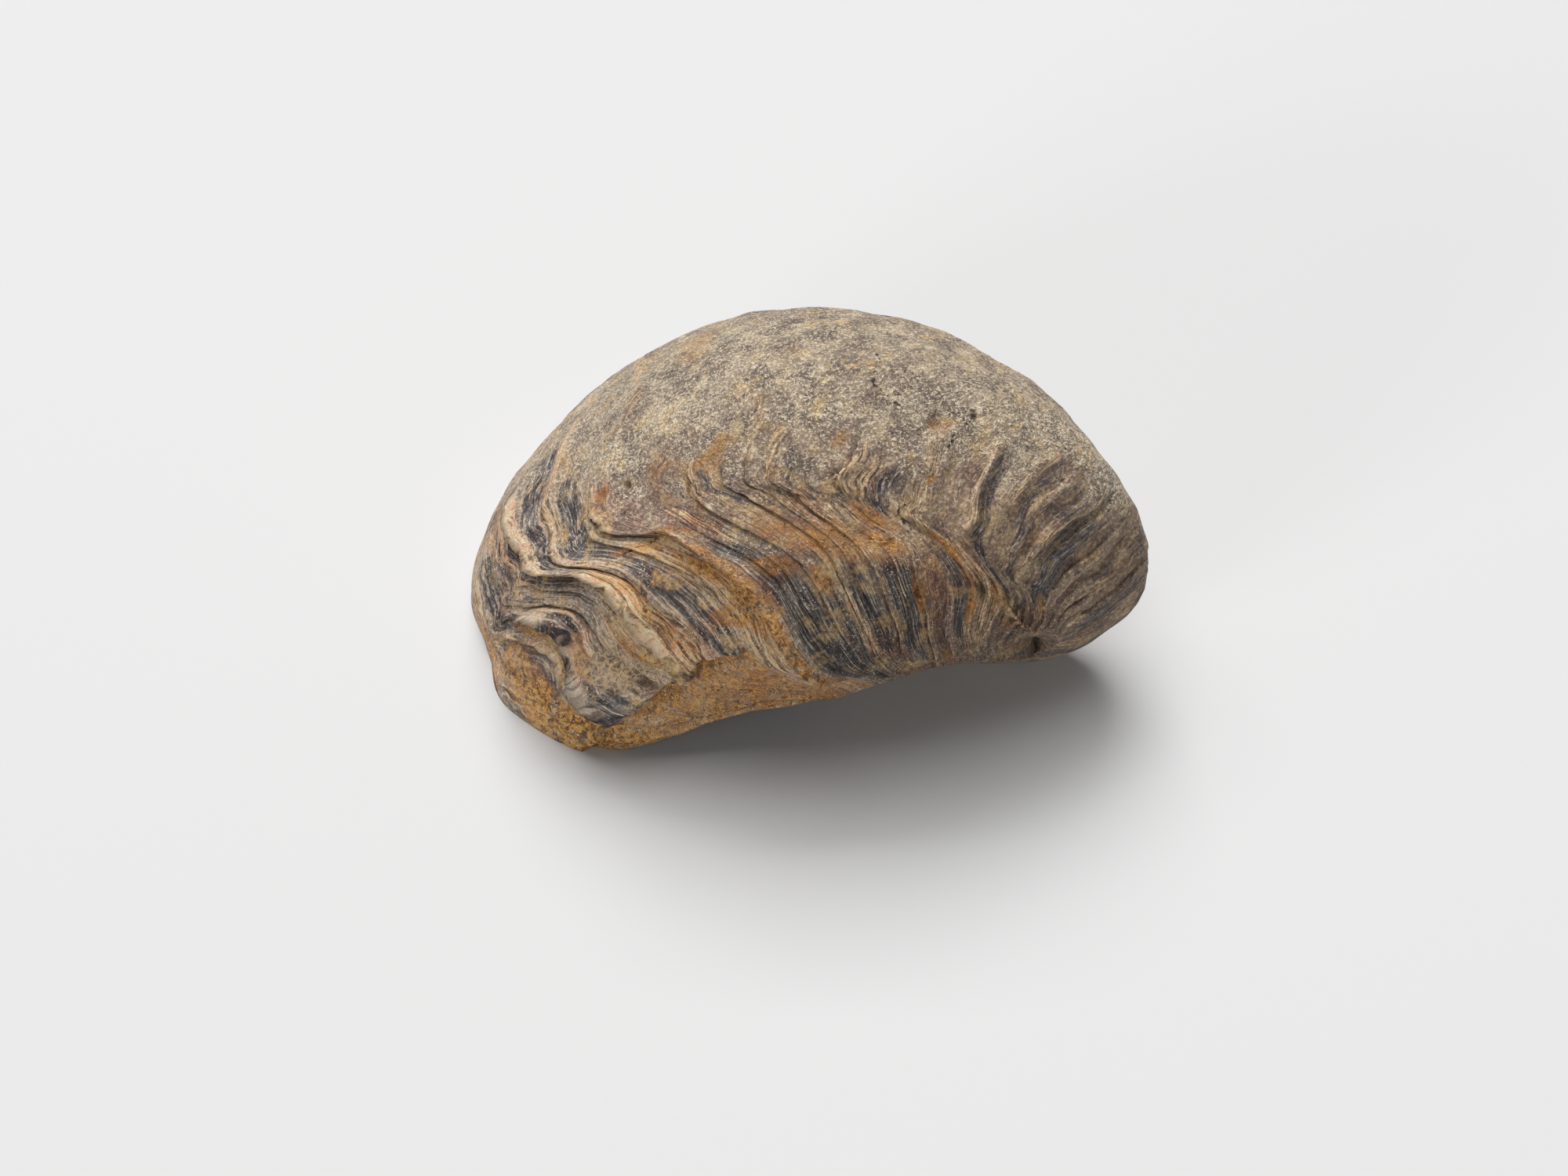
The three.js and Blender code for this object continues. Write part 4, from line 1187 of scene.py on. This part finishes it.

# %% [markdown]
# ### Worn dome
#
# The dome was rolled and weathered until its sheets no longer show. It is mottled grey
# and beige, with pale scuffs, thin veins, rusty patches, and a few round scars where
# small creatures sat on the shell. Low on the dome, towards the furrow, darker patches
# are painted shade. A thin veil of the same wear also lies on the older sheets.

# %% Worn dome
WORN_GREY, WORN_BEIGE = srgb(116, 105, 97), srgb(160, 145, 128)
WORN_PALE, WORN_VEIN, WORN_RUST = srgb(200, 180, 152), srgb(206, 188, 160), srgb(206, 170, 114)
WORN_SHADE, LOW_DOME_SHADE = srgb(96, 85, 80), srgb(88, 80, 76)
ROUND_SCAR, ROUND_PIT, WORN_GRIT = srgb(212, 186, 146), srgb(142, 112, 84), srgb(150, 148, 146)

worn_tone = graded(noise(mm, 0.28, 4.0, 0.65), 0.42, 0.60, WORN_GREY, WORN_BEIGE)
scuffs = spots((7.0, 3.0, 1.0), 0.26, 5.0, 0.7, 0.52, 0.60)
worn_tone = mix(times(scuffs, 0.85), worn_tone, WORN_PALE)
vein = calc("ABSOLUTE", calc("SUBTRACT", noise(shift(mm, (4.0, 8.0, 2.0)), 0.30, 4.0, 0.65), 0.5))
worn_tone = mix(times(step(vein, 0.028, 0.004), 0.55), worn_tone, WORN_VEIN)
rust = spots((5.0, 2.0, 8.0), 0.24, 4.0, 0.7, 0.56, 0.64)
worn_tone = mix(times(rust, 0.7), worn_tone, WORN_RUST)
shade = spots((1.0, 9.0, 4.0), 0.42, 5.0, 0.75, 0.56, 0.64)
worn_tone = mix(times(shade, 0.55), worn_tone, WORN_SHADE)
# Painted shade, in patches, low on the dome towards the furrow.
low_dome_shade = times(step(line_place, 5.6, 4.4), spots((6.0, 6.0, 2.0), 0.22, 4.0, 0.7, 0.40, 0.56))
worn_tone = mix(times(low_dome_shade, 0.6), worn_tone, LOW_DOME_SHADE)
print("worn dome, nodes so far", len(tree.nodes))

# %% Round scars and veil
round_scars = tree.nodes.new("ShaderNodeTexVoronoi")
feed(round_scars.inputs["Vector"], shift(mm, stretch(wobble, (3.0, 3.0, 3.0))))
feed(round_scars.inputs["Scale"], 0.17)
scar_distance = plus(round_scars.outputs["Distance"], around(crumbs, 0.16))
round_scar = times(step(scar_distance, 0.24, 0.14), worn_map)
round_pit = times(step(scar_distance, 0.09, 0.05), worn_map)
worn_tone = mix(times(round_scar, 0.65), worn_tone, ROUND_SCAR)
worn_tone = mix(times(round_pit, 0.5), worn_tone, ROUND_PIT)
worn_tone = mix(0.85, worn_tone, graded(grit, 0.50, 0.64, WORN_GRIT, GRIT_LIGHT), "OVERLAY")
veil = spots((8.0, 1.0, 3.0), 0.38, 5.0, 0.75, 0.48, 0.58)
veil = times(veil, step(line_age, 0.6, 1.1), step(slate, 0.2, 0.8, 1.0, 0.25))
colour = mix(calc("MAXIMUM", times(worn_map, 0.92), times(veil, 0.6)), colour, worn_tone)
print("scars and veil, nodes so far", len(tree.nodes))

# %% [markdown]
# ### Specks, pits and rubbed edges
#
# Chalky specks, coarse and fine, lie thick on the dome and thin on the sheets, and
# tiny dark pits lie everywhere. What stands proud is rubbed pale, and what lies low,
# under a ledge or in the crease, is painted dark as shade; the mesh stores how proud
# each point is, less the painted shadows.

# %% Specks and pits
CHALK, PIT_COLOUR = srgb(214, 198, 172), srgb(56, 48, 42)

dusting = noise(shift(mm, (2.0, 5.0, 7.0)), 0.20, 4.0, 0.65)
coarse_specks = broken(noise(mm, 2.2, 2.0, 0.6), dusting, 0.25, 0.605, 0.675)
fine_specks = broken(noise(mm, 4.2, 1.0, 0.5), dusting, 0.3, 0.59, 0.66)
specks = calc("MAXIMUM", coarse_specks, fine_specks)
colour = mix(times(specks, broken(worn_map, clouds, 1.6, 0.05, 0.65), 0.85), colour, CHALK)
chalky = step(noise(mm, 4.2, 2.0, 0.5), 0.62, 0.66)
chalky = times(chalky, step(noise(mm, 0.30, 3.0, 0.6), 0.46, 0.58))
colour = mix(times(chalky, growth_free, 0.75), colour, CHALK)
pits = spots((3.0, 7.0, 5.0), 1.5, 1.0, 0.5, 0.29, 0.25)
colour = mix(times(pits, 0.65), colour, PIT_COLOUR)
print("specks and pits, nodes so far", len(tree.nodes))

# %% Painted shade in crevices and rubbed edges
LOW_SHADE_DARK, RUBBED_PALE = srgb(54, 41, 32), srgb(220, 196, 168)

# Painted shade: low points, the crease and the gaps under the ledges are darkened.
painted_low_shade = step(proud_map, 0.46, 0.20)
colour = mix(times(painted_low_shade, 0.78), colour, LOW_SHADE_DARK)
rub = times(step(proud_map, 0.58, 0.85), step(lines, 0.46, 0.60))
colour = mix(times(rub, 0.40), colour, RUBBED_PALE)
print("crevices, nodes so far", len(tree.nodes))

# %% [markdown]
# ### Comb
#
# Near the lip one sheet has broken away from a patch of small hollow cells, with thin
# pale walls between dark floors. A Voronoi texture gives the distance to the nearest
# wall; stretching and twisting its coordinates keeps the cells from looking ruled.

# %% Comb
CELL_DARK, CELL_BROWN, CELL_WALL = srgb(74, 68, 66), srgb(112, 98, 86), srgb(186, 158, 122)

cells = tree.nodes.new("ShaderNodeTexVoronoi")
cells.feature = "DISTANCE_TO_EDGE"
twist = noise_node(mm, 0.9).outputs["Color"]
feed(cells.inputs["Vector"], shift(stretch(mm, (1.0, 1.5, 1.0)), stretch(twist, (1.6, 1.6, 1.6))))
feed(cells.inputs["Scale"], 0.95)
comb_patch = broken(comb_map, clouds, 1.0, 0.45, 0.85)
wall = times(broken(cells.outputs["Distance"], crumbs, 0.25, 0.20, 0.03), comb_patch)
colour = mix(times(comb_patch, 0.75), colour, graded(crumbs, 0.4, 0.6, CELL_DARK, CELL_BROWN))
colour = mix(times(wall, 0.55), colour, CELL_WALL)
print("comb, nodes so far", len(tree.nodes))

# %% [markdown]
# ### Ochre sediment
#
# Iron-stained silt fills the breaks and the underside of the rim. It is made of dark
# and bright crumbs, with grey patches, sand grains, small holes and bits of shell in
# it, and round it the shell is washed with a thin rusty stain.

# %% Ochre sediment
OCHRE_DARK, OCHRE_BRIGHT = srgb(112, 70, 30), srgb(218, 150, 72)
SILT_DARK, SILT_PALE = srgb(78, 70, 66), srgb(146, 128, 110)
SAND, SILT_HOLE, SHELL_BIT = srgb(232, 190, 134), srgb(66, 44, 28), srgb(230, 208, 176)
WASH_TINT, WASH_RUST = srgb(208, 158, 110), srgb(186, 134, 84)
DRY_DARK, DRY_PALE, OLD_TINT = srgb(176, 136, 88), srgb(214, 178, 124), srgb(196, 184, 172)

silt = graded(crumbs, 0.42, 0.57, OCHRE_DARK, OCHRE_BRIGHT)
grey_silt = graded(crumbs, 0.4, 0.6, SILT_DARK, SILT_PALE)
silt = mix(spots((2.0, 6.0, 4.0), 0.5, 4.0, 0.7, 0.52, 0.60), silt, grey_silt)
silt = mix(step(dust, 0.56, 0.66), silt, SAND)
silt_holes = spots((6.0, 1.0, 2.0), 1.3, 2.0, 0.6, 0.42, 0.36)
silt = mix(times(silt_holes, 0.8), silt, SILT_HOLE)
silt = mix(times(spots((1.0, 4.0, 9.0), 2.4, 1.0, 0.5, 0.64, 0.68), 0.8), silt, SHELL_BIT)
silt = mix(times(worn_map, 0.75), silt, graded(crumbs, 0.4, 0.6, DRY_DARK, DRY_PALE))
silt = mix(times(step(line_age, 0.8, 1.2), 0.8), silt, OLD_TINT, "MULTIPLY")

wash = broken(ochre_map, noise(mm, 0.28, 4.0, 0.65), 1.4, 0.10, 0.80)
wash = times(wash, spots((3.0, 3.0, 3.0), 0.8, 4.0, 0.7, 0.30, 0.56))
wash = times(wash, step(worn_map, 0.0, 1.0, 1.0, 0.4))
colour = mix(times(wash, 0.65), colour, WASH_TINT, "MULTIPLY")
colour = mix(times(wash, 0.45), colour, WASH_RUST)
colour = mix(times(ochre, 0.82), colour, silt)
print("sediment, nodes so far", len(tree.nodes))

# %% [markdown]
# ### Stains, cracks and the inside
#
# Faint brown stains and a pink blush lie over the sheets, and a few dark cracks cut
# through everything. The hollow is smooth and pale, with soft growth lines, a little
# stain, and the darker muscle scar.

# %% Stains, cracks and the inside
STAIN_DARK, STAIN_PALE, BLUSH = srgb(136, 104, 70), srgb(204, 168, 112), srgb(222, 182, 166)
CRACK_DARK = srgb(38, 33, 30)
INSIDE_DULL, INSIDE_PALE = srgb(164, 148, 128), srgb(184, 169, 148)
INSIDE_STAIN, MUSCLE_SCAR = srgb(160, 128, 90), srgb(106, 94, 84)

stain = times(step(clouds, 0.53, 0.64), growth_free, 0.45)
colour = mix(stain, colour, graded(crumbs, 0.4, 0.6, STAIN_DARK, STAIN_PALE))
blush = spots((9.0, 4.0, 6.0), 0.16, 3.0, 0.6, 0.50, 0.62)
colour = mix(times(blush, growth_free, 0.5), colour, BLUSH, "MULTIPLY")

rough_crack = broken(crack_map, noise(mm, 1.2, 3.0, 0.6), 1.6, 0.10, 0.02)
cracked = calc("MAXIMUM", rough_crack, times(step(crack_map, 0.13, 0.05), 0.8))
colour = mix(times(cracked, 0.9), colour, CRACK_DARK)

inside_tone = graded(growth_noise(0.6, 26.0), 0.35, 0.65, INSIDE_DULL, INSIDE_PALE)
inside_tone = mix(times(step(clouds, 0.52, 0.68), 0.7), inside_tone, INSIDE_STAIN)
inside_tone = mix(times(scar_map, 0.7), inside_tone, MUSCLE_SCAR)
colour = mix(inner_map, colour, inside_tone)
print("cracks and inside, nodes so far", len(tree.nodes))

# %% [markdown]
# ### Last tone
#
# All layers are mixed a little too dark, so that they never clip, and are made lighter
# together at the end, slightly warm. The last-grown sheets near the lip, which the lamps
# leave in shade, gain most as painted light, but only where they are not pale already.
# A screen of the colour with itself opens the dark tones and leaves the light ones.

# %% Last tone
WARM_GAIN = (1.44, 1.395, 1.35)
LIFT_GAIN = (1.45, 1.42, 1.40)
SCREEN_AMOUNT = 0.42

colour = stretch(colour, WARM_GAIN)
# Painted light: the young sheets near the lip, left in shade by the lamps, are lightened.
painted_lift = times(step(line_age, 1.3, 0.8), step(worn_map, 0.0, 1.0, 1.0, 0.0), outside)
painted_lift = times(painted_lift, step(ochre, 0.0, 1.0, 1.0, 0.5))
painted_lift = times(painted_lift, step(colour, 0.35, 0.75, 1.0, 0.0))
colour = mix(painted_lift, colour, stretch(colour, LIFT_GAIN))
colour = vector_calc("MINIMUM", colour, (1.0, 1.0, 1.0))
colour = mix(SCREEN_AMOUNT, colour, colour, "SCREEN")
feed(shader.inputs["Base Color"], colour)
print("last tone, nodes so far", len(tree.nodes))

# %% [markdown]
# ### Grain
#
# Forms down to about a third of a millimetre are in the mesh. The finest grain is a
# bump: growth hairs on the sheets, crumbs in the silt, grit and knobs on the dome,
# and pits, holes and cracks sunk in. Dense slate sheets shine a little more.

# %% Grain
BUMP_METRES = 0.00050

grain_parts = [
    around(lines, growth_free),
    around(hairs, times(growth_free, 0.35)),
    around(grit, times(outside, 1.8)),
    around(crumbs, plus(times(ochre, 1.4), 0.45)),
    around(dust, 0.50),
    around(noise(mm, 0.7, 4.0, 0.6), times(worn_map, 2.2)),
    around(noise(mm, 1.6, 3.0, 0.6), times(worn_map, 1.3)),
    times(round_scar, 0.25),
    times(round_pit, -0.9),
    times(specks, 0.12),
    times(pits, -0.7),
    times(silt_holes, ochre, -0.7),
    times(wall, 0.55),
    times(cracked, -0.8),
]
height_map = 0.0
for part in grain_parts:
    height_map = plus(height_map, part)
bump = tree.nodes.new("ShaderNodeBump")
feed(bump.inputs["Strength"], 1.0)
feed(bump.inputs["Distance"], BUMP_METRES)
feed(bump.inputs["Height"], height_map)
feed(shader.inputs["Normal"], bump.outputs["Normal"])
feed(shader.inputs["Roughness"], step(plus(times(slate, 0.5), lines), 0.3, 1.2, 0.86, 0.62))
feed(shader.inputs["Specular IOR Level"], 0.35)
mesh.materials.append(stone)
print("material nodes", len(tree.nodes))

# %% [markdown]
# ## Floor
#
# The find lies on a smooth pale sheet. One plane would do, but a small grid of quads is
# as cheap and lights as evenly. It is far wider than the view, lies in the same plane
# as the row's floor, and is not a part of the object.

# %% Floor
FLOOR_REACH = 2.5
FLOOR_QUADS = 8
PAPER_GREY = 0.62

side = np.linspace(-FLOOR_REACH, FLOOR_REACH, FLOOR_QUADS + 1)
u, v = np.meshgrid(side, side)
floor_points = np.stack([u, v, 0 * u], -1).reshape(-1, 3)
corner = (np.arange(FLOOR_QUADS)[:, None] * (FLOOR_QUADS + 1) + np.arange(FLOOR_QUADS)).ravel()
above = corner + FLOOR_QUADS + 1
floor_mesh = bpy.data.meshes.new("floor")
floor_quads = np.stack([corner, corner + 1, above + 1, above], -1)
floor_mesh.from_pydata(floor_points.tolist(), [], floor_quads.tolist())
floor = bpy.data.objects.new("floor", floor_mesh)
bpy.context.scene.collection.objects.link(floor)
paper = bpy.data.materials.new("paper")
paper.use_nodes = True
paper_shader = paper.node_tree.nodes["Principled BSDF"]
paper_shader.inputs["Base Color"].default_value = (PAPER_GREY, PAPER_GREY, PAPER_GREY, 1.0)
paper_shader.inputs["Roughness"].default_value = 0.9
paper_shader.inputs["Specular IOR Level"].default_value = 0.0
floor_mesh.materials.append(paper)
print("floor quads", len(floor_quads))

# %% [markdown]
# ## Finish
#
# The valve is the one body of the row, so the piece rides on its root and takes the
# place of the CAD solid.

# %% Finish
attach(oyster, "root")
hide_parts("oyster_valve")
